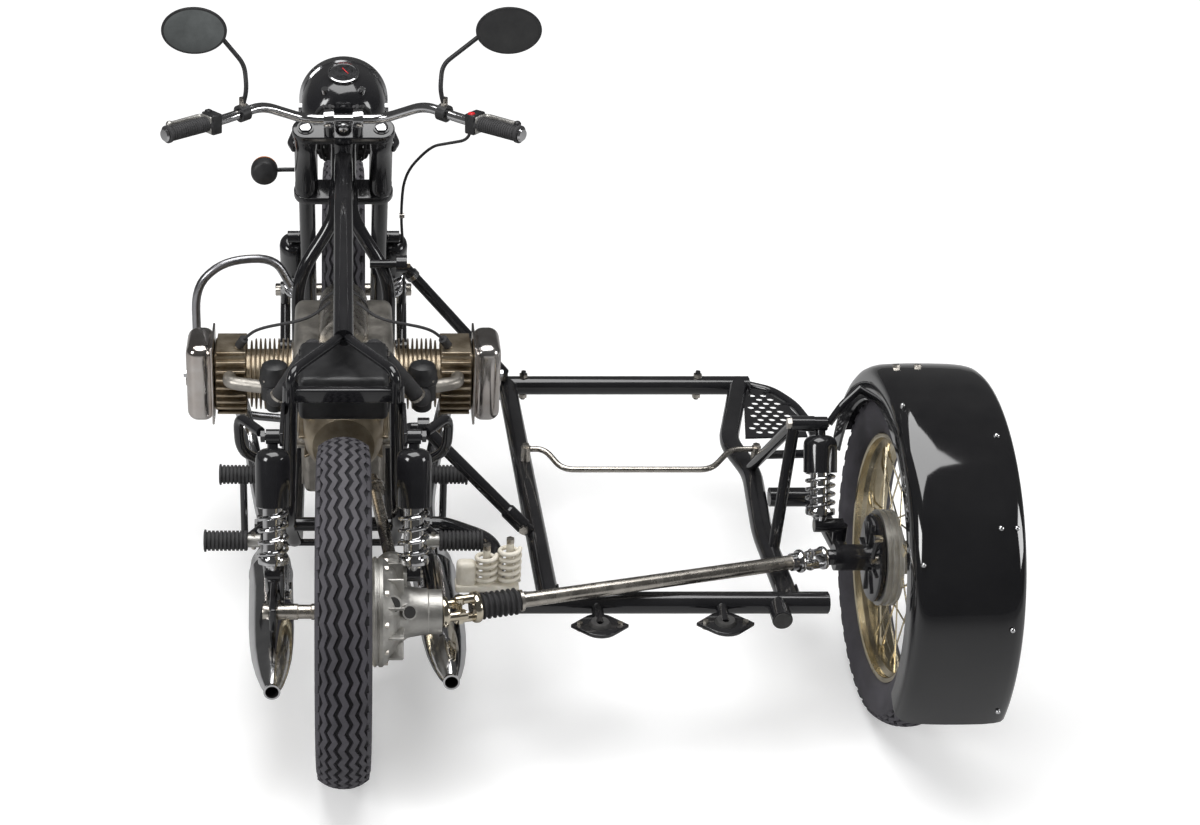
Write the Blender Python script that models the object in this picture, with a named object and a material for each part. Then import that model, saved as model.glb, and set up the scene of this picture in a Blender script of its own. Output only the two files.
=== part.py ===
"""Sidecar motorcycle without its bodywork: a flat-twin shaft-drive machine and its driven sidecar chassis.

Metres, +Z up, +Y forward, +X to the sidecar. Places are given from the point on the ground under the
rear axle, in the motorcycle's middle plane. Tables of places are shares of the track, the wheelbase
and the height of the steering head. The last step moves the whole machine so that the origin lies at
the bottom centre of its box.
"""

import math

import bmesh
import bpy
from mathutils import Matrix, Vector

# Shared fits and fineness
SEAT = 0.0004          # gap between two pieces that rest on each other
RUN = 0.0006           # radial play of a wheel on its axle
LAP = 0.004            # depth by which welded shapes enter each other
SPILL = 0.050          # length by which a cutter runs past what it cuts
ROUND = 10             # sides of a turned piece
COARSE = 6             # sides of a small turned piece
FINE = 14              # sides of a large turned piece
WELD = 0.00001         # merge distance

# The machine's main sizes
WHEELBASE = 1.490
TRACK = 1.132          # sidecar wheel from the motorcycle's middle plane
HEAD_Z = 0.900         # height of the middle of the steering head
HEAD_Y_SHARE = 0.7013
RAKE = math.radians(28.0)
LEAD_SHARE = 0.134     # sidecar wheel ahead of the rear axle, as a share of the wheelbase
SIDES = (("left", -1), ("right", 1))

# Wheels: 4.00-19 tyres on wire wheels
TYRE_RADIUS = 0.3425
TYRE_WIDTH = 0.106
TYRE_STEPS = 24
RIM_RADIUS = 0.254
RIM_WIDTH = 0.068
RIM_LIP = 0.003
RIM_DEPTH = 0.0065
RIM_WELL = 0.016
HUB_WIDTH = 0.090
HUB_RADIUS = 0.034
DRUM_RADIUS = 0.098
DRUM_WIDTH = 0.034
AXLE_RADIUS = 0.010
NUT_RADIUS = 0.016
NUT_LENGTH = 0.013
SPOKE_RADIUS = 0.0021
SPOKE_PAIRS = 12

# Suspension units
SHOCK_X = 0.137
EYE_WIDTH = 0.026
EYE_RADIUS = 0.0145
PIN_RADIUS = 0.0075
COVER_RADIUS = 0.034
COIL_RADIUS = 0.031
COIL_WIRE = 0.0085

# Tubes
FRAME_TUBE = 0.016
BACKBONE_TUBE = 0.021
STAY_TUBE = 0.010
ARM_TUBE = 0.015
CHASSIS_TUBE = 0.0225


def clear_scene():
    for old in list(bpy.data.objects):
        bpy.data.objects.remove(old)


def finish(name, colour, roughness, metallic):
    """A plain Principled material."""
    made = bpy.data.materials.new(name)
    made.use_nodes = True
    shader = made.node_tree.nodes["Principled BSDF"]
    shader.inputs["Base Color"].default_value = (*colour, 1.0)
    shader.inputs["Roughness"].default_value = roughness
    shader.inputs["Metallic"].default_value = metallic
    made.diffuse_color = (*colour, 1.0)
    return made


clear_scene()
BLACK = finish("black_enamel", (0.012, 0.012, 0.013), 0.25, 0.0)
CHROME = finish("chrome", (0.62, 0.62, 0.62), 0.12, 1.0)
ALLOY = finish("cast_alloy", (0.50, 0.48, 0.45), 0.45, 1.0)
STEEL = finish("bright_steel", (0.50, 0.47, 0.43), 0.30, 1.0)
RUBBER = finish("black_rubber", (0.020, 0.020, 0.022), 0.80, 0.0)
TYRE = finish("tyre_rubber", (0.035, 0.034, 0.040), 0.85, 0.0)
PLASTIC = finish("black_plastic", (0.018, 0.018, 0.018), 0.50, 0.0)
GLASS = finish("lamp_glass", (0.80, 0.82, 0.82), 0.05, 0.0)


def solid(name, bm, look=None):
    """An object from a finished bmesh, with its faces pointing out."""
    bmesh.ops.remove_doubles(bm, verts=bm.verts, dist=WELD)
    bmesh.ops.recalc_face_normals(bm, faces=bm.faces)
    mesh = bpy.data.meshes.new(name)
    bm.to_mesh(mesh)
    bm.free()
    made = bpy.data.objects.new(name, mesh)
    bpy.context.scene.collection.objects.link(made)
    if look:
        mesh.materials.append(look)
    return made


def named(made, name, look):
    made.name = name
    made.data.name = name
    made.data.materials.clear()
    made.data.materials.append(look)
    return made


def evaluated_mesh(thing):
    bpy.context.view_layer.update()
    graph = bpy.context.evaluated_depsgraph_get()
    return bpy.data.meshes.new_from_object(thing.evaluated_get(graph))


def combine(name, pieces, look, cutters=()):
    """One object: the union of the pieces, less the cutters."""
    base, others = pieces[0], list(pieces[1:])
    for kind, group in (("UNION", others), ("DIFFERENCE", list(cutters))):
        if not group:
            continue
        tools = bpy.data.collections.new(name + "_" + kind.lower())
        for tool in group:
            tools.objects.link(tool)
        step = base.modifiers.new(kind, "BOOLEAN")
        step.operation = kind
        step.operand_type = "COLLECTION"
        step.collection = tools
        step.solver = "EXACT"
    mesh = evaluated_mesh(base)
    for used in [base, *others, *cutters]:
        bpy.data.objects.remove(used)
    made = bpy.data.objects.new(name, mesh)
    bpy.context.scene.collection.objects.link(made)
    return named(made, name, look)


def spot(shares, side=1):
    """A place from its shares of the track, the wheelbase and the head's height."""
    x, y, z = shares
    return Vector((side * x * TRACK, y * WHEELBASE, z * HEAD_Z))


def spots(table, side=1):
    return [spot(row, side) for row in table]


def rounded(points, bend, steps=2):
    """The points of a path with each corner replaced by a short curve."""
    path = [Vector(p) for p in points]
    if not bend:
        return path
    out = [path[0]]
    for before, corner, after in zip(path, path[1:], path[2:]):
        reach_in = min(bend, (corner - before).length * 0.45)
        reach_out = min(bend, (after - corner).length * 0.45)
        start = corner + (before - corner).normalized() * reach_in
        end = corner + (after - corner).normalized() * reach_out
        for i in range(steps + 1):
            t = i / steps
            out.append(start * (1 - t) ** 2 + corner * 2 * t * (1 - t) + end * t ** 2)
    out.append(path[-1])
    return out


def pipe(points, radius, bend=0.0, steps=2, extra=1):
    """A round rod or tube along a path, closed at its ends; it has 4 sides and 2 for each extra."""
    line = bpy.data.curves.new("pipe", "CURVE")
    line.dimensions = "3D"
    line.bevel_depth = radius
    line.bevel_resolution = extra
    line.use_fill_caps = True
    run = line.splines.new("POLY")
    path = rounded(points, bend, steps)
    run.points.add(len(path) - 1)
    for knot, place in zip(run.points, path):
        knot.co = (*place, 1.0)
    guide = bpy.data.objects.new("pipe", line)
    bpy.context.scene.collection.objects.link(guide)
    mesh = evaluated_mesh(guide)
    bpy.data.objects.remove(guide)
    bm = bmesh.new()
    bm.from_mesh(mesh)
    return solid("pipe", bm)


def placing(start, toward):
    """The matrix that stands a shape's own +Z axis at start, pointing to toward."""
    way = Vector(toward) - Vector(start)
    return Matrix.Translation(start) @ way.to_track_quat("Z", "Y").to_matrix().to_4x4()


def turned(profile, start, toward, steps=ROUND, ring=False):
    """A profile of (radius, height) pairs turned about the line from start to toward."""
    bm = bmesh.new()
    knots = [bm.verts.new((radius, 0, height)) for radius, height in profile]
    pairs = list(zip(knots, knots[1:]))
    if ring:
        pairs.append((knots[-1], knots[0]))
    edges = [bm.edges.new(pair) for pair in pairs]
    bmesh.ops.spin(
        bm, geom=[*knots, *edges], axis=(0, 0, 1), cent=(0, 0, 0), steps=steps, angle=math.tau
    )
    bmesh.ops.transform(bm, matrix=placing(start, toward), verts=bm.verts)
    return solid("turned", bm)


def rod(start, end, radius, steps=ROUND):
    """A plain round bar."""
    length = (Vector(end) - Vector(start)).length
    return turned([(0, 0), (radius, 0), (radius, length), (0, length)], start, end, steps)


def along_x(centre, low, high, radius, steps=ROUND):
    """A round bar parallel to X through a centre, between two offsets."""
    centre = Vector(centre)
    return rod(centre + Vector((low, 0, 0)), centre + Vector((high, 0, 0)), radius, steps)


def brick(centre, size, bevel=0.0, segments=1):
    """A box from its centre and its three sides, with its edges bevelled."""
    bm = bmesh.new()
    bmesh.ops.create_cube(bm, size=1.0)
    bmesh.ops.scale(bm, vec=Vector(size), verts=bm.verts)
    bmesh.ops.translate(bm, vec=Vector(centre), verts=bm.verts)
    if bevel:
        bmesh.ops.bevel(
            bm, geom=bm.edges[:], offset=bevel, segments=segments, affect="EDGES", profile=0.5
        )
    return solid("brick", bm)


def block(corner, opposite, bevel=0.0, segments=1):
    """A box between two opposite corners."""
    corner, opposite = Vector(corner), Vector(opposite)
    size = [abs(a - b) for a, b in zip(corner, opposite)]
    return brick((corner + opposite) / 2, size, bevel, segments)


def plate(outline, thickness, matrix=None):
    """A flat outline in its own XY plane, extruded along its own +Z."""
    bm = bmesh.new()
    face = bm.faces.new([bm.verts.new((x, y, 0)) for x, y in outline])
    grown = bmesh.ops.extrude_face_region(bm, geom=[face])
    moved = [v for v in grown["geom"] if isinstance(v, bmesh.types.BMVert)]
    bmesh.ops.translate(bm, vec=(0, 0, thickness), verts=moved)
    if matrix:
        bmesh.ops.transform(bm, matrix=matrix, verts=bm.verts)
    return solid("plate", bm)


def arc(centre, radius, first, last, steps):
    """Points of an arc in a plane, angles in degrees."""
    cx, cy = centre
    out = []
    for i in range(steps + 1):
        a = math.radians(first + (last - first) * i / steps)
        out.append((cx + radius * math.cos(a), cy + radius * math.sin(a)))
    return out


def swept_band(section, centre, first, last, steps):
    """A closed section of (x, radius) pairs swept round a line parallel to X."""
    cx, cy, cz = centre
    a = math.radians(first)
    bm = bmesh.new()
    loop = [
        bm.verts.new((cx + x, cy + r * math.cos(a), cz + r * math.sin(a))) for x, r in section
    ]
    face = bm.faces.new(loop)
    other_end = bm.faces.new([bm.verts.new(v.co) for v in reversed(loop)])
    bmesh.ops.spin(
        bm, geom=[face, *face.edges, *face.verts], axis=(1, 0, 0), cent=centre,
        steps=steps, angle=math.radians(last - first),
    )
    return solid("band", bm) if other_end else None


# Places that several pieces share
HEAD_WAY = Vector((0, -math.sin(RAKE), math.cos(RAKE)))
ACROSS = Vector((0, math.cos(RAKE), math.sin(RAKE)))
HEAD_POINT = Vector((0, HEAD_Y_SHARE * WHEELBASE, HEAD_Z))
REAR_AXLE = Vector((0, 0, TYRE_RADIUS))
FRONT_AXLE = Vector((0, WHEELBASE, TYRE_RADIUS))
THIRD_AXLE = Vector((TRACK, LEAD_SHARE * WHEELBASE, TYRE_RADIUS))


def on_head(x, ahead, up):
    """A point given from the steering axis: sideways, ahead of it, and up along it."""
    return HEAD_POINT + Vector((x, 0, 0)) + ACROSS * ahead + HEAD_WAY * up


# Wheels

TYRE_SECTION_SHARES = (
    # half width of the tyre, way from the rim's lip to the crown
    (0.84, 0.22), (1.00, 0.50), (0.88, 0.82), (0.50, 0.97), (0.18, 1.00),
)


def make_tyre(name, centre):
    """A closed ring whose bead sits between the rim's lips."""
    seat = RIM_RADIUS - RIM_DEPTH + SEAT
    bead = RIM_WIDTH / 2 - RIM_LIP - SEAT
    half = TYRE_WIDTH / 2
    lip_clear = RIM_RADIUS + SEAT
    side = [(seat, bead), (lip_clear, bead)]
    for wide, high in TYRE_SECTION_SHARES:
        side.append((lip_clear + (TYRE_RADIUS - lip_clear) * high, half * wide))
    profile = side + [(r, -w) for r, w in reversed(side)]
    made = turned(profile, centre, centre + Vector((1, 0, 0)), TYRE_STEPS, ring=True)
    named(made, name, TYRE)


def make_wheel(name, middle, drum_side):
    """Rim, hub, brake drum and crossed spokes, welded into one body."""
    out = middle + Vector((1, 0, 0))
    half = RIM_WIDTH / 2
    seat = RIM_RADIUS - RIM_DEPTH
    well = seat - RIM_WELL
    rim = [
        (RIM_RADIUS, half), (RIM_RADIUS, half - RIM_LIP), (seat, half - RIM_LIP),
        (seat, -half + RIM_LIP), (RIM_RADIUS, -half + RIM_LIP), (RIM_RADIUS, -half),
        (well, -half * 0.88), (well, half * 0.88),
    ]
    pieces = [turned(rim, middle, out, TYRE_STEPS, ring=True)]
    bore = AXLE_RADIUS + RUN
    flange = HUB_RADIUS * 1.35
    lug = HUB_RADIUS * 0.15
    edge = HUB_WIDTH / 2
    drum_in = edge - DRUM_WIDTH
    hub = [
        (bore, -edge), (flange, -edge), (flange, -edge + 2 * lug), (HUB_RADIUS, -edge + 3 * lug),
        (HUB_RADIUS, drum_in - lug), (DRUM_RADIUS, drum_in), (DRUM_RADIUS, edge), (bore, edge),
    ]
    hub = [(r, h * drum_side) for r, h in hub]
    pieces.append(turned(hub, middle, out, SPOKE_PAIRS, ring=True))
    pitch = math.tau / SPOKE_PAIRS
    rows = ((flange, -edge + 1.5 * lug, -1), (DRUM_RADIUS, drum_in + 1.5 * lug, 1))
    for i in range(SPOKE_PAIRS):
        for radius, place, way in rows:
            small = (i + 0.25 * way) * pitch
            lean = 1 if i % 2 else -1
            turn = small + lean * pitch * 1.25
            beside = lean * SPOKE_RADIUS * 1.6
            near = Vector((place * drum_side + beside, 0, 0))
            near += Vector((0, math.cos(small), math.sin(small))) * (radius - LAP)
            far = Vector((place * drum_side * 0.15 + beside, 0, 0))
            far += Vector((0, math.cos(turn), math.sin(turn))) * (well + LAP)
            pieces.append(rod(middle + near, middle + far, SPOKE_RADIUS, 3))
    combine(name, pieces, CHROME)


def make_wheels():
    rows = (("rear", REAR_AXLE, 1), ("front", FRONT_AXLE, -1), ("sidecar", THIRD_AXLE, -1))
    for name, centre, drum_side in rows:
        make_tyre(name + "_tyre", centre)
        make_wheel(name + "_wheel", centre, drum_side)


# Shock absorbers: eye, sleeve, coils, cover and eye along one line

def make_shock(name, foot, top, pin_way, coils, cover_share):
    """A spring unit between two eyes; the eyes' bores run along pin_way."""
    foot, top = Vector(foot), Vector(top)
    length = (top - foot).length
    sleeve = EYE_RADIUS * 2.4
    neck = EYE_WIDTH * 0.45
    cover_from = length * cover_share
    run = (cover_from - sleeve) / coils
    core = COIL_RADIUS - COIL_WIRE
    profile = [(0, 0), (neck, 0), (neck, EYE_RADIUS), (core * 1.15, EYE_RADIUS * 1.5), (core * 1.15, sleeve)]
    for i in range(coils):
        base = sleeve + run * i
        profile += [
            (core, base + run * 0.05), (COIL_RADIUS, base + run * 0.45), (core, base + run * 0.85),
        ]
    profile += [
        (COVER_RADIUS, cover_from), (COVER_RADIUS, length - 2.6 * EYE_RADIUS),
        (COVER_RADIUS * 0.7, length - 1.7 * EYE_RADIUS), (neck, length - 1.5 * EYE_RADIUS),
        (neck, length), (0, length),
    ]
    pieces = [turned(profile, foot, top, ROUND)]
    half = Vector(pin_way).normalized() * EYE_WIDTH / 2
    bores = []
    for end in (foot, top):
        pieces.append(rod(end - half, end + half, EYE_RADIUS, COARSE))
        bores.append(rod(end - half * 3, end + half * 3, PIN_RADIUS + RUN, COARSE))
    combine(name, pieces, BLACK, bores)


# Motorcycle frame

HEAD_LOW = -0.135
HEAD_HIGH = 0.045
HEAD_TUBE = 0.029
STEM_RADIUS = 0.015
PIVOT_SHARES = (0.1350, 0.2685, 0.3333)
BACKBONE_END_SHARES = (0, 0.2651, 0.8278)
CORNER_SHARES = (0.0919, 0.1510, 0.8356)
RAIL_SHARES = (
    # track, wheelbase, head height: from the neck down, back along the bottom and up the seat post
    (0.0159, 0.6846, 0.8222), (0.0928, 0.6644, 0.6778), (0.0928, 0.6644, 0.2056),
    (0.0928, 0.3356, 0.2056), (0.1020, 0.2685, 0.3333), (0.1020, 0.2013, 0.4200),
    (0.0919, 0.1560, 0.8022),
)
HOOP_SHARES = (
    (0.1010, 0.1900, 0.5456), (0.1811, 0.1342, 0.6578), (0.1837, 0.1342, 0.7456),
    (0.1420, 0.0900, 0.7450),
)
SHOCK_TOP_SHARES = (0.0805, 0.7422)   # wheelbase, head height
SHOCK_FOOT_SHARE = 0.0180             # wheelbase
SHOCK_FOOT_RISE = 0.070               # above the axle


def shock_ends(side):
    """Foot and top of a rear shock absorber."""
    y, z = SHOCK_TOP_SHARES
    foot = Vector((side * SHOCK_X, SHOCK_FOOT_SHARE * WHEELBASE, TYRE_RADIUS + SHOCK_FOOT_RISE))
    top = Vector((side * SHOCK_X, y * WHEELBASE, z * HEAD_Z))
    return foot, top


def make_frame():
    """Duplex cradle: head tube, backbone, two rails, and loops that carry the shock absorbers."""
    low, high = on_head(0, 0, HEAD_LOW), on_head(0, 0, HEAD_HIGH)
    length = HEAD_HIGH - HEAD_LOW
    bore = STEM_RADIUS / math.cos(math.pi / ROUND) + RUN
    ring = [(bore, 0), (HEAD_TUBE, 0), (HEAD_TUBE, length), (bore, length)]
    pieces = [turned(ring, low, high, ROUND, ring=True)]
    back_end = spot(BACKBONE_END_SHARES)
    back = on_head(0, -HEAD_TUBE + LAP, HEAD_HIGH - BACKBONE_TUBE * 2.2)
    pieces.append(pipe([back, back_end], BACKBONE_TUBE))
    inner = SHOCK_X - EYE_WIDTH / 2 - SEAT
    corner = spot(CORNER_SHARES)
    for _, s in SIDES:
        neck = on_head(s * STEM_RADIUS * 1.2, -HEAD_TUBE + LAP, HEAD_LOW + FRAME_TUBE * 1.6)
        pieces.append(pipe([neck, *spots(RAIL_SHARES, s)], FRAME_TUBE, 4 * FRAME_TUBE))
        end = spot(CORNER_SHARES, s)
        drop = Vector((0, 0, -4 * FRAME_TUBE))
        split = back_end + Vector((s * BACKBONE_TUBE, -BACKBONE_TUBE, 0))
        inside = back_end + Vector((0, BACKBONE_TUBE, 0))
        pieces.append(pipe([inside, split, end, end + drop], STAY_TUBE, 3 * STAY_TUBE))
        pieces.append(pipe(spots(HOOP_SHARES, s), STAY_TUBE, 3 * STAY_TUBE))
        foot, top = shock_ends(s)
        outer = spot(HOOP_SHARES[-1]).x
        pieces.append(along_x((0, top.y, top.z), s * (inner - LAP), s * outer, PIN_RADIUS, COARSE))
        near = (s * (inner - 2 * LAP), top.y - EYE_RADIUS, top.z - EYE_RADIUS)
        far = (s * inner, corner.y + 2 * LAP, top.z + EYE_RADIUS)
        pieces.append(block(near, far))
    front = spot(RAIL_SHARES[2])
    cross = (0, front.y - 2 * FRAME_TUBE, front.z)
    pieces.append(along_x(cross, -front.x, front.x, FRAME_TUBE * 0.9, COARSE))
    pivot = spot(PIVOT_SHARES)
    middle = (0, pivot.y, pivot.z)
    pieces.append(along_x(middle, -pivot.x, pivot.x, ARM_TUBE, COARSE))
    bore = along_x(middle, -pivot.x - SPILL, pivot.x + SPILL, PIVOT_PIN + RUN, COARSE)
    size = (2 * corner.x, 2 * STAY_TUBE, 3 * STAY_TUBE)
    pieces.append(brick((0, corner.y + STAY_TUBE / 2, corner.z - 5 * STAY_TUBE), size))
    lug = spot(LOWER_LUG_SHARES)
    strut = spot(LOWER_STRUT_SHARES[0])
    strut.x -= STRUT_RADIUS * 0.9 + SEAT
    pieces.append(pipe([lug, strut - Vector((2 * STAY_TUBE, 0, 0)), strut], STAY_TUBE, STAY_TUBE))
    high_lug = spot(UPPER_STRUT_SHARES[0])
    high_lug.x -= STRUT_RADIUS * 0.9 + SEAT
    pieces.append(rod((0.5 * high_lug.x, high_lug.y, high_lug.z), high_lug, STAY_TUBE, COARSE))
    combine("frame", pieces, BLACK, [bore])


ARM_END_SHARE = 0.040
PIVOT_PIN = 0.008


def shock_lug(s, floor):
    """Ear with the pin that carries a rear shock absorber's foot."""
    foot, _ = shock_ends(s)
    inner = SHOCK_X - EYE_WIDTH / 2 - SEAT
    tall = foot.z + PIN_RADIUS * 1.2 - floor
    ear = brick((s * (inner - LAP), foot.y, floor + tall / 2), (2 * LAP, 2.4 * EYE_RADIUS, tall))
    tip = SHOCK_X + EYE_WIDTH / 2 + LAP
    return [ear, along_x((0, foot.y, foot.z), s * (inner - LAP), s * tip, PIN_RADIUS, COARSE)]


def make_swing_arm():
    """Two arms on one pivot pin: the left one holds the axle, the right one the final drive."""
    pivot = spot(PIVOT_SHARES)
    x = pivot.x + SEAT + ARM_TUBE
    middle = (0, pivot.y, pivot.z)
    axle = (0, 0, TYRE_RADIUS)
    pieces = [along_x(middle, -x, x, PIVOT_PIN, COARSE)]
    for _, s in SIDES:
        end = Vector((s * SHOCK_X, ARM_END_SHARE * WHEELBASE, TYRE_RADIUS))
        start = Vector((s * (x + 0.15 * ARM_TUBE), pivot.y, pivot.z))
        pieces.append(pipe([start, end], ARM_TUBE, extra=2))
        pieces.append(along_x(middle, s * (x - ARM_TUBE), s * (x + ARM_TUBE), 1.3 * ARM_TUBE, ROUND))
    pieces += shock_lug(-1, TYRE_RADIUS)
    foot, _ = shock_ends(-1)
    inner = SHOCK_X - EYE_WIDTH / 2 - SEAT
    web = (2 * ARM_TUBE, 5 * EYE_RADIUS, 1.6 * ARM_TUBE)
    pieces.append(brick((2 * LAP - inner - web[0] / 2, foot.y + EYE_RADIUS, TYRE_RADIUS), web, LAP / 2))
    size = (ARM_TUBE, 7 * ARM_TUBE, 3.4 * ARM_TUBE)
    pieces.append(brick((-SHOCK_X, 1.2 * ARM_TUBE, TYRE_RADIUS), size, ARM_TUBE / 4))
    wall = ARM_TUBE / 2
    wide = NUT_RADIUS * 1.3
    cutters = [
        along_x(axle, -SHOCK_X - SPILL, SPILL - SHOCK_X, AXLE_RADIUS + SEAT),
        along_x(axle, wall - SHOCK_X, wall - SHOCK_X + SPILL, wide),
        along_x(axle, -SHOCK_X - wall - SPILL, -SHOCK_X - wall, wide),
        final_drive_body(SEAT), pinion_neck(SEAT), *shock_lug(1, TYRE_RADIUS),
    ]
    combine("swing_arm", pieces, BLACK, cutters)


# Final drive: the casting beside the rear hub

DRIVE_X = 0.052
DRIVE_BORE = 0.060
DRIVE_SECTION = (
    # radius, distance outward from the inner face
    (0.100, 0), (0.108, 0.008), (0.108, 0.024), (0.090, 0.042), (0.062, 0.058), (0.052, 0.072),
    (0.046, 0.100), (0.044, 0.140),
)
PINION_RADIUS = 0.045
PINION_X = 0.098
PINION_REACH = 0.175


def final_drive_body(grow):
    section = [(r + grow, DRIVE_X + h + grow * (1 if h else -1)) for r, h in DRIVE_SECTION]
    profile = [(0, section[0][1]), *section, (0, section[-1][1])]
    return turned(profile, REAR_AXLE, REAR_AXLE + Vector((1, 0, 0)), FINE)


def pinion_neck(grow):
    neck = REAR_AXLE + Vector((PINION_X, 0, 0))
    wide, slim = PINION_RADIUS * 0.9 + grow, PINION_RADIUS * 0.7 + grow
    profile = [(0, 0), (wide, 0), (slim, PINION_REACH + grow), (0, PINION_REACH + grow)]
    return turned(profile, neck, neck + Vector((0, 1, 0)), 12)


def make_final_drive():
    """Bevel-drive casting with its pinion neck forward and the ear for the shock absorber."""
    hole = along_x(REAR_AXLE, DRIVE_X - SPILL, DRIVE_X + DRIVE_BORE, AXLE_RADIUS + SEAT)
    ear = shock_lug(1, TYRE_RADIUS + DRIVE_SECTION[-1][0] / 2)
    combine("final_drive", [final_drive_body(0), pinion_neck(0), *ear], ALLOY, [hole])


def make_rear_axle():
    """Axle with its outer nut and the bright spacer between arm and hub."""
    arm_out = SHOCK_X + ARM_TUBE / 2 + SEAT
    arm_in = SHOCK_X - ARM_TUBE / 2 - SEAT
    hub = HUB_WIDTH / 2 + RUN
    end = DRIVE_X + DRIVE_BORE - SEAT
    profile = [
        (0, -arm_out - NUT_LENGTH), (NUT_RADIUS, -arm_out - NUT_LENGTH), (NUT_RADIUS, -arm_out),
        (AXLE_RADIUS, -arm_out), (AXLE_RADIUS, -arm_in), (NUT_RADIUS, -arm_in), (NUT_RADIUS, -hub),
        (AXLE_RADIUS, -hub), (AXLE_RADIUS, end), (0, end),
    ]
    named(turned(profile, REAR_AXLE, REAR_AXLE + Vector((1, 0, 0))), "rear_axle", STEEL)


# Engine: crankcase with gearbox, generator, cylinders, carburettors and exhausts

CASE_WIDTH = 0.220
CASE_Y_SHARES = (0.4295, 0.6174)
CASE_Z_SHARES = (0.2444, 0.6556)
BOX_Y_SHARE = 0.3120
CYLINDER_Y_SHARE = 0.5168
CYLINDER_Z_SHARE = 0.5222
BARREL_RADIUS = 0.058
FIN_RADIUS = 0.080
FIN_COUNT = 5
BARREL_LENGTH = 0.105
HEAD_LENGTH = 0.072
HEAD_SIDE = 0.150
HEAD_RISE = 0.160
COVER_LENGTH = 0.062
COVER_RISE = 0.188
COVER_SIDE = 0.125
SHAFT_RADIUS = 0.013


def make_engine():
    """Crankcase, sump, timing cover, generator and the tapering gearbox behind."""
    y0, y1 = [share * WHEELBASE for share in CASE_Y_SHARES]
    z0, z1 = [share * HEAD_Z for share in CASE_Z_SHARES]
    half = CASE_WIDTH / 2
    ease = CASE_WIDTH / 10
    tall = z1 - z0
    low_half = half * 0.80
    pieces = [block((-half, y0, z0 + tall * 0.35), (half, y1, z1), ease, 2)]
    pieces.append(block((-low_half, y0 + ease, z0), (low_half, y1 - ease, z0 + tall * 0.42), ease / 2))
    middle = Vector((0, y1 - LAP, z0 + tall * 0.68))
    cover = [
        (0, 0), (half * 0.88, 0), (half * 0.80, ease), (half * 0.45, 1.4 * ease), (0, 1.4 * ease),
    ]
    pieces.append(turned(cover, middle, middle + Vector((0, 1, 0)), FINE))
    top = Vector((0, y1 - ease, z1))
    pieces.append(rod(top, top - Vector((0, (y1 - y0) * 0.75, 0)), half * 0.50, ROUND))
    run = y0 - BOX_Y_SHARE * WHEELBASE
    centre = Vector((0, y0 + LAP, z0 + tall * 0.62))
    gearbox = [
        (0, 0), (half * 1.02, 0), (half * 1.02, run * 0.14), (half * 0.80, run * 0.30),
        (half * 0.76, run * 0.80), (half * 0.62, run), (0, run),
    ]
    pieces.append(turned(gearbox, centre, centre - Vector((0, 1, 0)), FINE))
    combine("engine", pieces, ALLOY)


def cylinder_axis():
    return Vector((0, CYLINDER_Y_SHARE * WHEELBASE, CYLINDER_Z_SHARE * HEAD_Z))


def make_cylinders():
    """Finned barrel and finned head a side, with the smooth rocker cover outside."""
    axis = cylinder_axis()
    start = CASE_WIDTH / 2 + SEAT
    pitch = BARREL_LENGTH / FIN_COUNT
    for side, s in SIDES:
        profile = [(0, 0), (BARREL_RADIUS, 0)]
        for i in range(FIN_COUNT):
            profile += [
                (BARREL_RADIUS, pitch * (i + 0.25)), (FIN_RADIUS, pitch * (i + 0.35)),
                (FIN_RADIUS, pitch * (i + 0.70)), (BARREL_RADIUS, pitch * (i + 0.80)),
            ]
        profile += [(BARREL_RADIUS, BARREL_LENGTH + LAP), (0, BARREL_LENGTH + LAP)]
        base = axis + Vector((s * start, 0, 0))
        pieces = [turned(profile, base, base + Vector((s, 0, 0)), ROUND)]
        head_from = start + BARREL_LENGTH
        middle = axis + Vector((s * (head_from + HEAD_LENGTH / 2), 0, 0))
        pieces.append(brick(middle, (HEAD_LENGTH, HEAD_SIDE * 0.62, HEAD_RISE * 0.88)))
        for i in range(FIN_COUNT):
            share = (i + 0.5) / FIN_COUNT
            height = HEAD_RISE * (share - 0.5)
            taper = 1 - 0.35 * (2 * share - 1) ** 2
            fin = (HEAD_LENGTH * 0.92, HEAD_SIDE * taper, HEAD_RISE / FIN_COUNT * 0.38)
            pieces.append(brick(middle + Vector((0, 0, height)), fin))
        combine("cylinder_" + side, pieces, ALLOY)
        cover_from = head_from + HEAD_LENGTH + SEAT
        centre = axis + Vector((s * (cover_from + COVER_LENGTH / 2), 0, 0))
        lid = brick(centre, (COVER_LENGTH, COVER_SIDE, COVER_RISE), COVER_LENGTH * 0.40, 2)
        rib = (COVER_LENGTH, COVER_SIDE * 0.70, COVER_RISE * 0.12)
        ridge = brick(centre + Vector((s * LAP / 2, 0, 0)), rib, COVER_LENGTH * 0.08)
        cutter = block((0, centre.y - COVER_SIDE, centre.z - COVER_RISE),
                       (s * cover_from, centre.y + COVER_SIDE, centre.z + COVER_RISE))
        combine("rocker_cover_" + side, [lid, ridge], CHROME, [cutter])


CARB_X_SHARES = (0.1325, 0.1520)
CARB_Y_SHARE = 0.4300
CARB_Z_SHARE = 0.5800
CARB_RADIUS = 0.034
CARB_HEIGHT = 0.085
HOSE_RADIUS = 0.018
AIR_BOX_LOW_SHARES = (0.0800, 0.2080, 0.6650)
AIR_BOX_HIGH_SHARES = (0.0800, 0.3250, 0.7720)


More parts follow.
